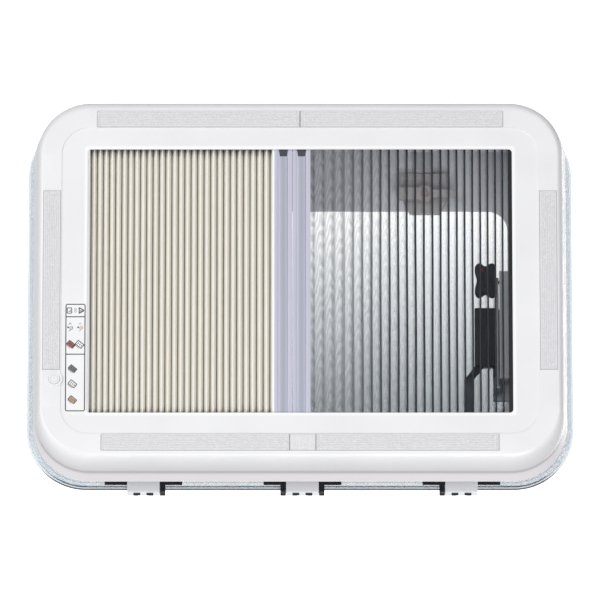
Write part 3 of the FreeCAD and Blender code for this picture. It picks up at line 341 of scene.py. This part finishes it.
def diffuser(name, node, opacity):
    """Prismatic light cover: fine speckle and cross lines, with a grey moulded edge."""
    low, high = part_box(node)
    colour = (0.95, 0.935, 0.975)
    made = surface(name, colour, 0.2, Alpha=opacity, IOR=1.5)
    mottle(made, colour, 0.16, 640)
    outline = off_rectangle(made, (low + high) / 2, (high - low) / 2)
    border = spread(made, outline, -1.2 * MM, -0.4 * MM, 0, 1)
    lay_over(made, border, (0.80, 0.80, 0.83))
    across = add(made, "ShaderNodeTexWave", Vector=stretched(made), Scale=260.0, Distortion=0.6)
    across.bands_direction = "DIAGONAL"
    emboss(made, across.outputs["Fac"], 0.5, 0.3 * MM)
    uneven_gloss(made, 0.15, 0.3, 70)
    return made


# Bare plate on a hinge base: half its size, and how far its middle is short of the leaf's end.
PLATE_HALF = (23.7 * MM, 14 * MM)
PLATE_BACK = 11.5 * MM
# Where the plate turns up out of the shade, along Y.
PLATE_BEND = (270 * MM, 277 * MM)
# Slots in the plate: half their size, and how far their middles are off the hinge's middle and
# past the leaf's end.
PLATE_SLOT_HALF = (5 * MM, 3 * MM)
PLATE_SLOT_SHIFT = 9.5 * MM
PLATE_SLOT_PAST = 1.5 * MM


def hinge_casting(name, leaf):
    """Black hinge base whose room face between the ears is bare aluminium with two dark slots."""
    station = middle_of(leaf).x
    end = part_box(leaf)[1].y
    made = moulded(name, BLACK, 0.4, 600, 0.08 * MM)
    plate = off_rectangle(made, (station, end - PLATE_BACK), PLATE_HALF)
    bare = spread(made, plate, -0.1 * MM, 0, 1, 0)
    lay_over(made, bare, (0.95, 0.95, 0.98))
    shade = spread(made, along(made, "Y"), *PLATE_BEND, 0.6, 0)
    lay_over(made, times(made, shade, bare), (0.45, 0.45, 0.48))
    for shift in (-PLATE_SLOT_SHIFT, PLATE_SLOT_SHIFT):
        centre = (station + shift, end + PLATE_SLOT_PAST)
        slot = off_rectangle(made, centre, PLATE_SLOT_HALF)
        lay_over(made, spread(made, slot, -0.2 * MM, 0.2 * MM, 1, 0), BLACK)
    return made


def satin_bar(name, bar):
    """Lavender anodised pull bar with a softly shaded groove along its middle."""
    colour = (0.64, 0.64, 0.75)
    made = surface(name, colour, 0.38, Metallic=0.35)
    lines = drawn_lines(made, "y", colour, 0.95, 1.04)
    off_middle = off_level(made, along(made, "X"), middle_of(bar).x)
    groove = spread(made, off_middle, 1.5 * MM, 7 * MM, 1, 0)
    lay_over(made, groove, (0.47, 0.49, 0.57))
    feed(made, spread(made, lines, 0.3, 0.7, 0.32, 0.46), "Roughness")
    emboss(made, lines, 0.2, 0.04 * MM)
    return made


def light_board(name):
    """White board whose raised chips are yellow with phosphor."""
    white, phosphor = (0.88, 0.88, 0.86), (0.86, 0.72, 0.25)
    made = surface(name, white, 0.4)
    low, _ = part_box("light_board_left")
    chip_top = low.z + 0.3 * MM
    raised = spread(made, along(made, "Z"), chip_top, chip_top + 0.2 * MM, 1, 0)
    feed(made, ramp(made, raised, [(0.4, white), (0.6, phosphor)]), "Base Color")
    emboss(made, noise(made, stretched(made), 300, 3), 0.3, 0.1 * MM)
    return made


def woven(made, pitch, strength, depth):
    """Plain weave: crossed threads at that pitch."""
    threads = [
        maths(made, "SINE", times(made, along(made, axis), math.tau / pitch))
        for axis in ("Y", "Z")
    ]
    both = maths(made, "ADD", *threads)
    emboss(made, both, strength, depth)
    return both


def stored(made, name):
    """Value stored on a pleated cloth's points.

    fold goes from 0 at a far fold to 1 at the fold nearest the room. facing is positive on
    the facets that face -X and negative on those that face +X.
    """
    node = made.node_tree.nodes.new("ShaderNodeAttribute")
    node.attribute_name = name
    return node.outputs["Fac"]


def blind_cloth(name):
    """Cream pleated cloth: painted light makes it pale on its crests and on the facets that face
    -X, painted shade makes it dark olive down in the folds; finely woven.
    """
    made = surface(name, (0.83, 0.79, 0.70), 0.85, Sheen_Weight=0.25, Sheen_Roughness=0.5)
    # Painted shade, dark down in the folds, and painted light, pale on the crests nearest the room.
    stops = [
        (0.0, (0.05, 0.04, 0.02)), (0.11, (0.10, 0.08, 0.04)), (0.16, (0.66, 0.62, 0.50)),
        (0.80, (0.86, 0.82, 0.72)), (1.0, (0.97, 0.95, 0.90)),
    ]
    feed(made, ramp(made, stored(made, "fold"), stops), "Base Color")
    # Painted light on the facets that face -X.
    lit = spread(made, stored(made, "facing"), 0.1, 0.45, 0, 0.86)
    lay_over(made, lit, (1.0, 0.985, 0.95))
    worn = spread(made, noise(made, stretched(made), 30), 0.3, 0.7, 0.05, 0)
    lay_over(made, worn, (0.45, 0.42, 0.34))
    woven(made, 0.8 * MM, 0.25, 0.08 * MM)
    uneven_gloss(made, 0.75, 0.95, 120)
    return made


def screen_mesh(name):
    """Sheer insect mesh with dark creases, which blur and shimmer towards the pull bar."""
    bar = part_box("insect_screen")[0].x
    colour = (0.018, 0.024, 0.032)
    made = surface(name, colour, 0.6)
    mottle(made, colour, 0.2, 40)
    threads = woven(made, 1.4 * MM, 0.3, 0.15 * MM)
    place = along(made, "X")
    fold = stored(made, "fold")
    sheer = spread(made, threads, -2, 2, 0.02, 0.07)
    turned_away = spread(made, stored(made, "facing"), -0.1, 0.4, 0, 1)
    shade = times(made, turned_away, spread(made, fold, 0.1, 0.8, 0, 0.23))
    stretch = stretched(made, 1, 0.5, 1)
    shimmer = add(made, "ShaderNodeTexWave", Vector=stretch, Scale=60.0, Distortion=5.0)
    shimmer.bands_direction = "DIAGONAL"
    near_bar = spread(made, place, bar, bar + 180 * MM, 0.13, 0.01)
    faint = times(made, shimmer.outputs["Fac"], near_bar)
    foot = spread(made, place, bar, bar + 130 * MM, 0.70, 0.76)
    crease = spread(made, fold, foot, maths(made, "ADD", foot, 0.1), 0, 1)
    sharp = spread(made, place, bar + 10 * MM, bar + 150 * MM, 0.12, 0.97)
    veil = maths(made, "ADD", sheer, maths(made, "ADD", shade, faint))
    feed(made, maths(made, "MAXIMUM", veil, times(made, crease, sharp)), "Alpha")
    return made


# Along Y, the stretch over which a painted sheen makes the stay's brace paler, and where its ears
# begin. Across, the ears begin this far past the bracket's inner side.
BRACE_SHEEN = (108 * MM, 130 * MM)
EARS_FROM = 112 * MM
EARS_PAST = 44 * MM


def stay_casting(name, colour):
    """Black stay bracket with a painted sheen that pales its bent brace, and plain steel ears."""
    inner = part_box("stay_bracket_right")[0].x
    made = moulded(name, colour, 0.5, 600, 0.1 * MM)
    run = along(made, "Y")
    # Painted sheen that pales the brace along Y.
    lay_over(made, spread(made, run, *BRACE_SHEEN, 0, 0.75), (0.12, 0.14, 0.17))
    at_ears = spread(made, run, EARS_FROM - 1 * MM, EARS_FROM, 0, 1)
    off_middle = off_level(made, along(made, "X"), 0)
    outer = spread(made, off_middle, inner + EARS_PAST, inner + EARS_PAST + 1 * MM, 0, 1)
    lay_over(made, times(made, at_ears, outer), (0.55, 0.55, 0.58))
    return made


# Colour, gloss, scale of the grain and its depth.
MOULDED = {
    "frame_grey": ((0.58, 0.59, 0.62), 0.55, 700, 0.1 * MM),
    "reveal_dark": ((0.90, 0.91, 0.96), 0.5, 600, 0.08 * MM),
    "hinge_black": (BLACK, 0.45, 600, 0.08 * MM),
    "latch_black": ((0.57, 0.54, 0.545), 0.32, 500, 0.06 * MM),
    "latch_red": ((0.50, 0.36, 0.36), 0.35, 500, 0.05 * MM),
    "stud_red": ((0.20, 0.02, 0.03), 0.35, 500, 0.05 * MM),
    "driver_black": ((0.04, 0.04, 0.045), 0.5, 500, 0.1 * MM),
    "label_film": ((0.90, 0.90, 0.90), 0.35, 220, 0.04 * MM),
    "rail_white": ((0.82, 0.82, 0.83), 0.42, 500, 0.05 * MM),
    "slider_grey": ((0.06, 0.06, 0.075), 0.4, 500, 0.06 * MM),
}
# Colour, gloss and the axis that the lines follow.
DRAWN = {
    "hinge_aluminium": ((0.78, 0.78, 0.81), 0.36, "x"),
    "steel_plated": ((0.62, 0.62, 0.62), 0.3, "z"),
    "stay_steel": ((0.50, 0.51, 0.54), 0.4, "y"),
    "profile_dark": ((0.05, 0.05, 0.055), 0.5, "y"),
}
MATERIALS = {
    "trim_white": trim_plastic("trim_white"),
    "gasket_foam": foam("gasket_foam", (0.09, 0.09, 0.10), 700, 0.5 * MM),
    "seal_rubber": foam("seal_rubber", (0.03, 0.03, 0.033), 1500, 0.12 * MM),
    "pane_outer": acrylic("pane_outer", (0.50, 0.62, 0.74), outer_opacity),
    "pane_inner": acrylic("pane_inner", (0.16, 0.29, 0.37), inner_opacity),
    "stay_black": stay_casting("stay_black", (0.03, 0.03, 0.034)),
    "strip_cover": diffuser("strip_cover", "light_joint_cover", COVER_OPACITY),
    "light_board": light_board("light_board"),
    "switch_white": moulded(
        "switch_white", (0.88, 0.88, 0.88), 0.25, 400, 0.02 * MM, Coat_Weight=0.3,
    ),
    "bar_aluminium": satin_bar("bar_aluminium", "blind_pull_bar"),
    "blind_fabric": blind_cloth("blind_fabric"),
    "screen_fabric": screen_mesh("screen_fabric"),
}
MATERIALS.update((name, moulded(name, *look)) for name, look in MOULDED.items())
MATERIALS.update((name, drawn_metal(name, *look)) for name, look in DRAWN.items())


def dress(obj, made):
    """Give an object one material."""
    if not obj.material_slots:
        obj.data.materials.append(made)
    for slot in obj.material_slots:
        slot.material = made


for name, obj in frame["nodes"].items():
    dress(obj, MATERIALS[SLOT_OF[name]])
for place in ("left", "middle", "right"):
    base = "hinge_base_" + place
    dress(frame["nodes"][base], hinge_casting(base, "hinge_leaf_" + place))
for place in COVERS:
    cover = "light_cover_" + place
    dress(frame["nodes"][cover], diffuser("strip_cover_" + place, cover, COVER_OPACITY))
dress(frame["nodes"]["screen_pull_bar"], satin_bar("bar_screen", "screen_pull_bar"))


# ---------------------------------------------------------------- softened edges on CAD pieces
# Width of the rounding, and the nodes that get it.
ROUNDED = {
    0.5 * MM: (
        "hinge_leaf_left", "hinge_leaf_middle", "hinge_leaf_right", "hinge_base_left",
        "hinge_base_middle", "hinge_base_right", "blind_pull_bar", "screen_pull_bar",
        "blind_sliders", "screen_sliders", "light_joint_cover", "latch_lever_left",
        "latch_lever_right", "stay_arm_left", "stay_arm_right", "switch_button",
    ),
    0.9 * MM: ("interior_trim",),
    1.2 * MM: (
        "latch_base_left", "latch_base_right", "stay_bracket_left", "stay_bracket_right",
        "stay_knob_left", "stay_knob_right", "stay_track_left", "stay_track_right",
    ),
}


def soften(obj, width):
    """Round an object's sharp edges a little, as moulding and tumbling do."""
    obj.modifiers.new("Weld", "WELD").merge_threshold = 0.002 * MM
    bevel = obj.modifiers.new("Bevel", "BEVEL")
    bevel.width = width
    bevel.segments = 2
    bevel.angle_limit = math.radians(40)
    obj.modifiers.new("Normals", "WEIGHTED_NORMAL")


for width, names in ROUNDED.items():
    for name in names:
        soften(frame["nodes"][name], width)


# ---------------------------------------------------------------- mesh helpers
def piece(name, shape, body, slot, made=None, smooth=False):
    """Finish a bmesh as a piece of the part that rides on a body."""
    mesh = bpy.data.meshes.new(name)
    bmesh.ops.recalc_face_normals(shape, faces=shape.faces)
    shape.to_mesh(mesh)
    shape.free()
    for face in mesh.polygons:
        face.use_smooth = smooth
    obj = bpy.data.objects.new(name, mesh)
    bpy.context.scene.collection.objects.link(obj)
    dress(obj, made or MATERIALS[slot])
    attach(obj, body)
    return obj


def prism(shape, outline, low, high):
    """Add a closed prism with that outline in the XY plane between two levels."""
    bottom = [shape.verts.new((x, y, low)) for x, y in outline]
    top = [shape.verts.new((x, y, high)) for x, y in outline]
    shape.faces.new(bottom)
    shape.faces.new(top)
    for index in range(len(outline)):
        after = (index + 1) % len(outline)
        shape.faces.new((bottom[index], bottom[after], top[after], top[index]))


def ridge(shape, start, end, half_width, foot, crest):
    """Add a triangular rib from start to end, standing from foot to crest."""
    run = (Vector(end) - Vector(start)).normalized()
    side = Vector((-run.y, run.x)) * half_width
    rows = []
    for point in (Vector(start), Vector(end)):
        left, right = point + side, point - side
        rows.append([
            shape.verts.new((left.x, left.y, foot)),
            shape.verts.new((point.x, point.y, crest)),
            shape.verts.new((right.x, right.y, foot)),
        ])
    shape.faces.new(rows[0])
    shape.faces.new(rows[1])
    for index in range(3):
        after = (index + 1) % 3
        shape.faces.new((rows[0][index], rows[0][after], rows[1][after], rows[1][index]))


def turned(points, centre, degrees):
    """Points turned about their own origin and moved to centre."""
    c, s = math.cos(math.radians(degrees)), math.sin(math.radians(degrees))
    return [(centre[0] + x * c - y * s, centre[1] + x * s + y * c) for x, y in points]


def rectangle(width, height, centre, degrees=0):
    """Corners of a rectangle about centre, turned by degrees."""
    x, y = width / 2, height / 2
    return turned([(-x, -y), (x, -y), (x, y), (-x, y)], centre, degrees)


def stroke(shape, start, end, width, low, high):
    """Add a flat straight line of that width."""
    run = Vector(end) - Vector(start)
    middle = (Vector(start) + Vector(end)) / 2
    heading = math.degrees(math.atan2(run.y, run.x))
    prism(shape, rectangle(run.length, width, middle, heading), low, high)


def path(shape, points, width, low, high):
    """Add flat straight lines from point to point."""
    for near, far in zip(points, points[1:]):
        stroke(shape, near, far, width, low, high)


def ring(shape, centre, radius, width, low, high, steps=48):
    """Add a flat ring, which reaches width to either side of its radius."""
    for step in range(steps):
        near, far = (math.tau * (step + shift) / steps for shift in (0, 1))
        outline = []
        for angle, side in ((near, -width), (near, width), (far, width), (far, -width)):
            x = centre[0] + (radius + side) * math.cos(angle)
            y = centre[1] + (radius + side) * math.sin(angle)
            outline.append((x, y))
        prism(shape, outline, low, high)


# ---------------------------------------------------------------- pleated cloths
PLEAT_ROWS = 24
STEPS_PER_PLEAT = 12
PLEAT_DEPTH = 12.5 * MM
CLOTH = 0.35 * MM
# How sharp the folds are, from 0 for a plain wave to nearly 1 for a zigzag.
SHARPNESS = 0.97
# Range of a fold's depth as a share of the full depth, and its mean.
DEPTHS = (0.9, 1)
# Phase that a fold's sway gains from one end of the fold to the other.
SWAY_TURN = 7


def pleated_cloth(node, body, slot, form):
    """Pleated cloth with rounded folds, which rides on the given body.

    form holds the number of pleats, the place of the first far fold within a pleat, how much
    the pleats widen from the low side to the high side, the waviness of the folds and a seed.
    """
    pleats, first_fold, widening, wobble, seed = form
    low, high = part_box(node)
    span = high.x - low.x
    draw = random.Random(seed)
    phases = [draw.uniform(0, math.tau) for _ in range(math.ceil(pleats) + 1)]
    depths = [draw.uniform(*DEPTHS) for _ in range(math.ceil(pleats) + 1)]
    reach = PLEAT_DEPTH / 2 - CLOTH
    middle = low.z + PLEAT_DEPTH / 2
    shape = bmesh.new()
    fold = shape.verts.layers.float.new("fold")
    facing = shape.verts.layers.float.new("facing")
    columns = round(pleats * STEPS_PER_PLEAT)
    grid = []
    for column in range(columns + 1):
        share = column / columns
        turn = share * pleats - first_fold
        pleat = int(share * pleats)
        wave = math.asin(SHARPNESS * math.cos(math.tau * turn)) / math.asin(SHARPNESS)
        fade = math.sin(math.pi * share) ** 0.3 if 0 < column < columns else 0
        along_x = low.x + span * ((1 - widening) * share + widening * share ** 2)
        line = []
        for row in range(PLEAT_ROWS + 1):
            side = row / PLEAT_ROWS
            sway = math.sin(side * SWAY_TURN + phases[pleat]) * wobble * fade
            y = low.y + (high.y - low.y) * side
            vertex = shape.verts.new((along_x + sway, y, middle + reach * wave * depths[pleat]))
            vertex[fold] = (1 - wave) / 2
            vertex[facing] = math.sin(math.tau * turn)
            line.append(vertex)
        grid.append(line)
    for near, far in zip(grid, grid[1:]):
        for row in range(PLEAT_ROWS):
            shape.faces.new((near[row], near[row + 1], far[row + 1], far[row]))
    obj = piece(body + "_pleats", shape, body, slot, smooth=True)
    solid = obj.modifiers.new("Thickness", "SOLIDIFY")
    solid.thickness = CLOTH
    solid.offset = 0
    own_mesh(obj)
    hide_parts(node)


pleated_cloth("blackout_blind", "blind", "blind_fabric",
              (28.5, 0.2, 0.053, 0.08 * MM, 3))
pleated_cloth("insect_screen", "screen", "screen_fabric",
              (23.2, 0.94, -0.15, 0.25 * MM, 8))


# ---------------------------------------------------------------- light covers
RIB_PITCH = 2.6 * MM
RIB_RISE = 0.4 * MM
# Band at each end of a cover that the long ribs leave to the cross ribs.
END_BAND = 6 * MM
CROSS_PITCH = 1.7 * MM


def cover_ribs(cover):
    """Prismatic ribs along a light cover, with three cross ribs at each end."""
    low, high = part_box("light_cover_" + cover)
    along_x = high.x - low.x > high.y - low.y
    start, end = (low.x, high.x) if along_x else (low.y, high.y)
    side_low, side_high = (low.y, high.y) if along_x else (low.x, high.x)
    shape = bmesh.new()

    def rib(first, second, half_width):
        points = (first, second) if along_x else (first[::-1], second[::-1])
        ridge(shape, *points, half_width, low.z + SINK, low.z - RIB_RISE)

    edge = 1 * MM
    count = int((side_high - side_low - 2 * edge) / RIB_PITCH)
    margin = (side_high - side_low - (count - 1) * RIB_PITCH) / 2
    for index in range(count):
        across = side_low + margin + index * RIB_PITCH
        rib((start + END_BAND, across), (end - END_BAND, across), 0.45 * RIB_PITCH)
    for index in range(3):
        for place in (start + edge + index * CROSS_PITCH, end - edge - index * CROSS_PITCH):
            rib((place, side_low + edge), (place, side_high - edge), 0.5 * MM)
    made = diffuser("ribs_" + cover, "light_cover_" + cover, RIB_OPACITY)
    piece("ribs_" + cover, shape, "frame", "strip_cover", made)


for cover in COVERS:
    cover_ribs(cover)


PART_PITCH = 60 * MM
PART_SIZE = (3 * MM, 2.2 * MM)
# Half of a small part's height, its middle's distance from the board's edge, and the distance
# from a resistor to the contacts beside it.
PART_RISE = 0.2 * MM
PART_INSET = 1.5 * MM
CONTACT_SHIFT = 4.5 * MM


def board_parts():
    """Small dark resistors and pale contacts along each light board."""
    dark, pale = bmesh.new(), bmesh.new()
    for board in ("boards_front", "boards_rear", "board_left", "board_right"):
        low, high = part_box("light_" + board)
        along_x = high.x - low.x > high.y - low.y
        start, end = (low.x, high.x) if along_x else (low.y, high.y)
        side = (high.y if along_x else high.x) - PART_INSET
        size = PART_SIZE if along_x else PART_SIZE[::-1]
        count = int((end - start) / PART_PITCH)
        for index in range(count):
            place = start + (end - start) * (index + 0.5) / count
            for shape, shift in ((dark, 0), (pale, -CONTACT_SHIFT), (pale, CONTACT_SHIFT)):
                centre = (place + shift, side) if along_x else (side, place + shift)
                prism(shape, rectangle(*size, centre), low.z - PART_RISE, low.z + PART_RISE)
    piece("board_resistors", dark, "frame", "light_board", MATERIALS["driver_black"])
    piece("board_contacts", pale, "frame", "light_board", MATERIALS["switch_white"])


board_parts()


# ---------------------------------------------------------------- operating label
LINE = 1.5 * MM
FINE = 0.6 * LINE
CORNER = 2 * MM
TILTED = 40


def ink(name, colour):
    """Slightly uneven printing ink."""
    made = surface(name, colour, 0.5)
    mottle(made, colour, 0.12, 400)
    return made


INK = {
    "label_lines": ink("ink_dark", (0.05, 0.05, 0.06)),
    "label_red": ink("ink_red", (0.40, 0.14, 0.11)),
    "label_sand": ink("ink_sand", (0.62, 0.42, 0.28)),
    "label_grey": ink("ink_grey", (0.22, 0.22, 0.23)),
    "label_palm": ink("ink_palm", (0.66, 0.64, 0.63)),
}


def label_border(shape, left, right, first, last, level):
    """Border of the label, with rounded corners."""
    for x in (left, right):
        stroke(shape, (x, first + CORNER), (x, last - CORNER), LINE, *level)
    for y in (first, last):
        stroke(shape, (left + CORNER, y), (right - CORNER, y), LINE, *level)
    for x, y, start in (
        (left + CORNER, first + CORNER, 180), (right - CORNER, first + CORNER, 270),
        (right - CORNER, last - CORNER, 0), (left + CORNER, last - CORNER, 90),
    ):
        arc = [math.radians(start + 90 * step / 4) for step in range(5)]
        points = [(x + CORNER * math.cos(angle), y + CORNER * math.sin(angle)) for angle in arc]
        path(shape, points, LINE, *level)


def label_marks():
    """Plain pictograms of a panel, a triangle, rings, hands and blinds, with no lettering."""
    low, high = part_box("operating_label")
    level = (low.z - 0.06 * MM, low.z + SINK)
    shapes = {name: bmesh.new() for name in INK}
    lines = shapes["label_lines"]
    left, right = low.x + 1.2 * MM, high.x - 1.2 * MM
    label_border(lines, left, right, low.y + 3 * MM, high.y - 6 * MM, level)
    for y in (low.y + 22 * MM, low.y + 79 * MM):
        stroke(lines, (left, y), (right, y), LINE, *level)

    def draw(shape, origin, marks, width=FINE, degrees=0):
        """Lines through marks, which are in millimetres from origin."""
        points = turned([(x * MM, y * MM) for x, y in marks], origin, degrees)
        path(shape, points, width, *level)

    def panel(width, height, centre, degrees=0):
        """Outline of a rectangle."""
        corners = rectangle(width, height, centre, degrees)
        path(lines, corners + corners[:1], LINE * 0.8, *level)

    top = low.y + 12.5 * MM
    panel(6.5 * MM, 8 * MM, (left + 5 * MM, top))
    draw(lines, (left + 5 * MM, top), [(-1.5, 1.5), (1.5, 1.5), (1.5, -1)])
    draw(lines, (right - 5 * MM, top), [(-3.5, -4.5), (3.5, 0), (-3.5, 4.5), (-3.5, -4.5)], LINE)
    draw(lines, (right - 5 * MM, top), [(-1.5, -1), (-1.5, 1.5), (1, 0)])
    for shift in (-2.2 * MM, 1.4 * MM):
        centre = ((left + right) / 2, top + shift)
        ring(shapes["label_grey"], centre, 1.5 * MM, 0.3 * MM, *level, steps=12)
    for x, name in ((left + 6 * MM, "label_grey"), (right - 7 * MM, "label_sand")):
        hand = (x, low.y + 38 * MM)
        draw(shapes[name], hand, [(-4, 0), (-1, 1), (1, 4), (-2, 6)])
        draw(shapes[name], hand, [(1, 4), (4, 2), (3, -2)])
        draw(shapes[name], hand, [(-2, -4), (0, -7), (2, -4)])
        wrist, palm = (hand[0] - 3 * MM, hand[1]), (hand[0] + 1 * MM, hand[1])
        prism(lines, rectangle(2.2 * MM, 2.2 * MM, wrist, 20), *level)
        prism(shapes["label_palm"], rectangle(4.5 * MM, 3.2 * MM, palm, 35), *level)
    for name, x, y, filled in (
        ("label_red", left + 7.5 * MM, 64, True), ("label_lines", right - 7.5 * MM, 64, False),
        ("label_grey", left + 10 * MM, 101, True), ("label_lines", left + 10 * MM, 124, False),
        ("label_sand", left + 10 * MM, 148, True),
    ):
        centre = (x, low.y + y * MM)
        if filled:
            prism(shapes[name], rectangle(10 * MM, 6 * MM, centre, TILTED), *level)
        panel(11 * MM, 7 * MM, centre, TILTED)
        for dot in turned([(-2.5 * MM, 0), (0.5 * MM, 0), (3.5 * MM, 0)], centre, TILTED):
            prism(lines, rectangle(1.1 * MM, 3 * MM, dot, TILTED), *level)
        draw(shapes["label_grey"], centre, [(-5, 5), (3, 5.5)], degrees=TILTED)
    for name, shape in shapes.items():
        piece(name, shape, "frame", "label_film", INK[name])


label_marks()


# ---------------------------------------------------------------- switch and joint details
def switch_marks():
    """Fine ring and a short mark moulded into the switch button."""
    centre = middle_of("switch_button").xy
    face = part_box("switch_button")[0].z
    level = (face - 0.05 * MM, face + SINK)
    shape = bmesh.new()
    ring(shape, centre, 5.2 * MM, 0.25 * MM, *level)
    stroke(shape, centre - Vector((0, 2.6 * MM)), centre, 0.6 * MM, *level)
    piece("switch_marks", shape, "switch_push", "switch_white", MATERIALS["frame_grey"])


def joint_strips():
    """Pairs of copper contact strips that join the boards at the middle of both long sides."""
    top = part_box("light_joint_cover")[1].z
    level = (top - 1.1 * MM, top - 0.6 * MM)
    copper = drawn_metal("strip_copper", (0.62, 0.42, 0.36), 0.4, "y")
    shape = bmesh.new()
    for cover in ("light_joint_cover", "light_cover_front_left"):
        low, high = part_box(cover)
        length = high.y - low.y - 6 * MM
        for x in (-2.2 * MM, 2.2 * MM):
            prism(shape, rectangle(1.6 * MM, length, (x, (low.y + high.y) / 2)), *level)
    piece("joint_strips", shape, "frame", "light_board", copper)


switch_marks()
joint_strips()


# ---------------------------------------------------------------- wing grips of the stay knobs
GRIP_SPAN = 55 * MM
GRIP_WIDTH = 33 * MM
GRIP_HEIGHT = 12 * MM
# Distance of the grip's middle from the middle of the part.
GRIP_PLACE = 271 * MM
GRIP_STEPS = 64
# How deep the hollows between the lobes are.
LOBE = 0.22
# Share of the grip's height and of its full outline there.
GRIP_LEVELS = ((0, 0.86), (0.15, 0.97), (0.5, 1), (0.85, 0.97), (1, 0.86))
STUD_RADIUS = 3.5 * MM
STUD_LEVEL = (-0.6 * MM, 0.4 * MM)
# The stud's place off the grip's middle, as shares of its width and span.
STUD_PLACE = (0.16, 0.28)


def knob_grip(side):
    """Four-lobed grip with a small red stud on the room side of a stay knob."""
    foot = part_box("stay_knob_" + side)[0].z
    turn = 1 if side == "right" else -1
    middle = Vector((turn * GRIP_PLACE, middle_of("stay_knob_" + side).y))
    shape = bmesh.new()
    rows = []
    for share, grow in GRIP_LEVELS:
        row = []
        for step in range(GRIP_STEPS):
            angle = math.tau * step / GRIP_STEPS
            reach = grow * (1 - LOBE * math.cos(4 * angle)) / 2
            x = middle.x + GRIP_WIDTH * reach * math.cos(angle)
            y = middle.y + GRIP_SPAN * reach * math.sin(angle)
            row.append(shape.verts.new((x, y, foot + GRIP_HEIGHT * share)))
        rows.append(row)
    shape.faces.new(rows[0])
    shape.faces.new(rows[-1])
    for near, far in zip(rows, rows[1:]):
        for step in range(GRIP_STEPS):
            after = (step + 1) % GRIP_STEPS
            shape.faces.new((near[step], near[after], far[after], far[step]))
    piece("knob_grip_" + side, shape, "stay_" + side, "stay_black")
    stud = bmesh.new()
    across, back = STUD_PLACE
    centre = (middle.x - turn * GRIP_WIDTH * across, middle.y - GRIP_SPAN * back)
    level = [foot + shift for shift in STUD_LEVEL]
    ring(stud, centre, STUD_RADIUS / 2, STUD_RADIUS / 2, *level, steps=20)
    piece("knob_stud_" + side, stud, "stay_" + side, "latch_red", MATERIALS["stud_red"])


for side in ("left", "right"):
    knob_grip(side)


# ---------------------------------------------------------------- stage, light and camera
# The camera looks up from far below, tilted off the vertical towards the hinges, through a long
# lens, so that the picture has almost no perspective.
TILT = math.radians(18)
DISTANCE = 16.0
LENS = 657.7
TARGET = Vector((0, 0, -3 * MM))
TOWARDS_CAMERA = Vector((0, math.sin(TILT), -math.cos(TILT)))
UPWARD = Vector((0, -math.cos(TILT), -math.sin(TILT)))
# The bright wall stands this far beyond the part. The floor lies far below the camera.
BACKDROP_DISTANCE = 14.7
BACKDROP_SIZE = 3.4
FLOOR_LEVEL = -25
FLOOR_SIZE = 120


def flat_panel(name, centre, facing, size, made):
    """Square stage panel."""
    mesh = bpy.data.meshes.new(name)
    half = size / 2
    corners = [(-half, -half, 0), (half, -half, 0), (half, half, 0), (-half, half, 0)]
    mesh.from_pydata(corners, [], [(0, 1, 2, 3)])
    obj = bpy.data.objects.new(name, mesh)
    obj.location = centre
    obj.rotation_euler = Vector(facing).to_track_quat("Z", "Y").to_euler()
    bpy.context.scene.collection.objects.link(obj)
    obj.data.materials.append(made)


def soft_light(name, place, size, power):
    """Square area light that points at the part."""
    light = bpy.data.lights.new(name, "AREA")
    light.size = size
    light.energy = power
    obj = bpy.data.objects.new(name, light)
    obj.location = place
    obj.rotation_euler = (TARGET - Vector(place)).to_track_quat("-Z", "Y").to_euler()
    bpy.context.scene.collection.objects.link(obj)


floor = surface("floor_pale", (0.93, 0.93, 0.93), 0.8)
mottle(floor, (0.93, 0.93, 0.93), 0.01, 0.5)
flat_panel("floor", (0, 0, FLOOR_LEVEL), (0, 0, 1), FLOOR_SIZE, floor)

backdrop = surface(
    "backdrop_white", (1, 1, 1), 1.0, Emission_Color=(1, 1, 1, 1), Emission_Strength=1.05,
)
behind = TARGET - TOWARDS_CAMERA * BACKDROP_DISTANCE
flat_panel("backdrop", behind, TOWARDS_CAMERA, BACKDROP_SIZE, backdrop)

world = bpy.data.worlds.new("studio")
world.use_nodes = True
background = world.node_tree.nodes["Background"]
background.inputs["Color"].default_value = (0.97, 0.98, 1, 1)
background.inputs["Strength"].default_value = 0.52
bpy.context.scene.world = world

soft_light("key", (-5.0, -0.8, -6.0), 6.0, 260)
soft_light("fill", (1.5, 4.5, -5.5), 3.5, 190)
soft_light("sky", (1.0, -1.0, 7.0), 5.0, 160)

# Plain sRGB, so that the white plastic is as white as in the photograph.
bpy.context.scene.view_settings.view_transform = "Standard"

camera_data = bpy.data.cameras.new("camera")
camera_data.lens = LENS
camera_data.clip_end = 100
camera = bpy.data.objects.new("camera", camera_data)
camera.location = TARGET + TOWARDS_CAMERA * DISTANCE
axes = Matrix((UPWARD.cross(TOWARDS_CAMERA), UPWARD, TOWARDS_CAMERA)).transposed()
camera.rotation_mode = "QUATERNION"
camera.rotation_quaternion = axes.to_quaternion()
bpy.context.scene.collection.objects.link(camera)
bpy.context.scene.camera = camera
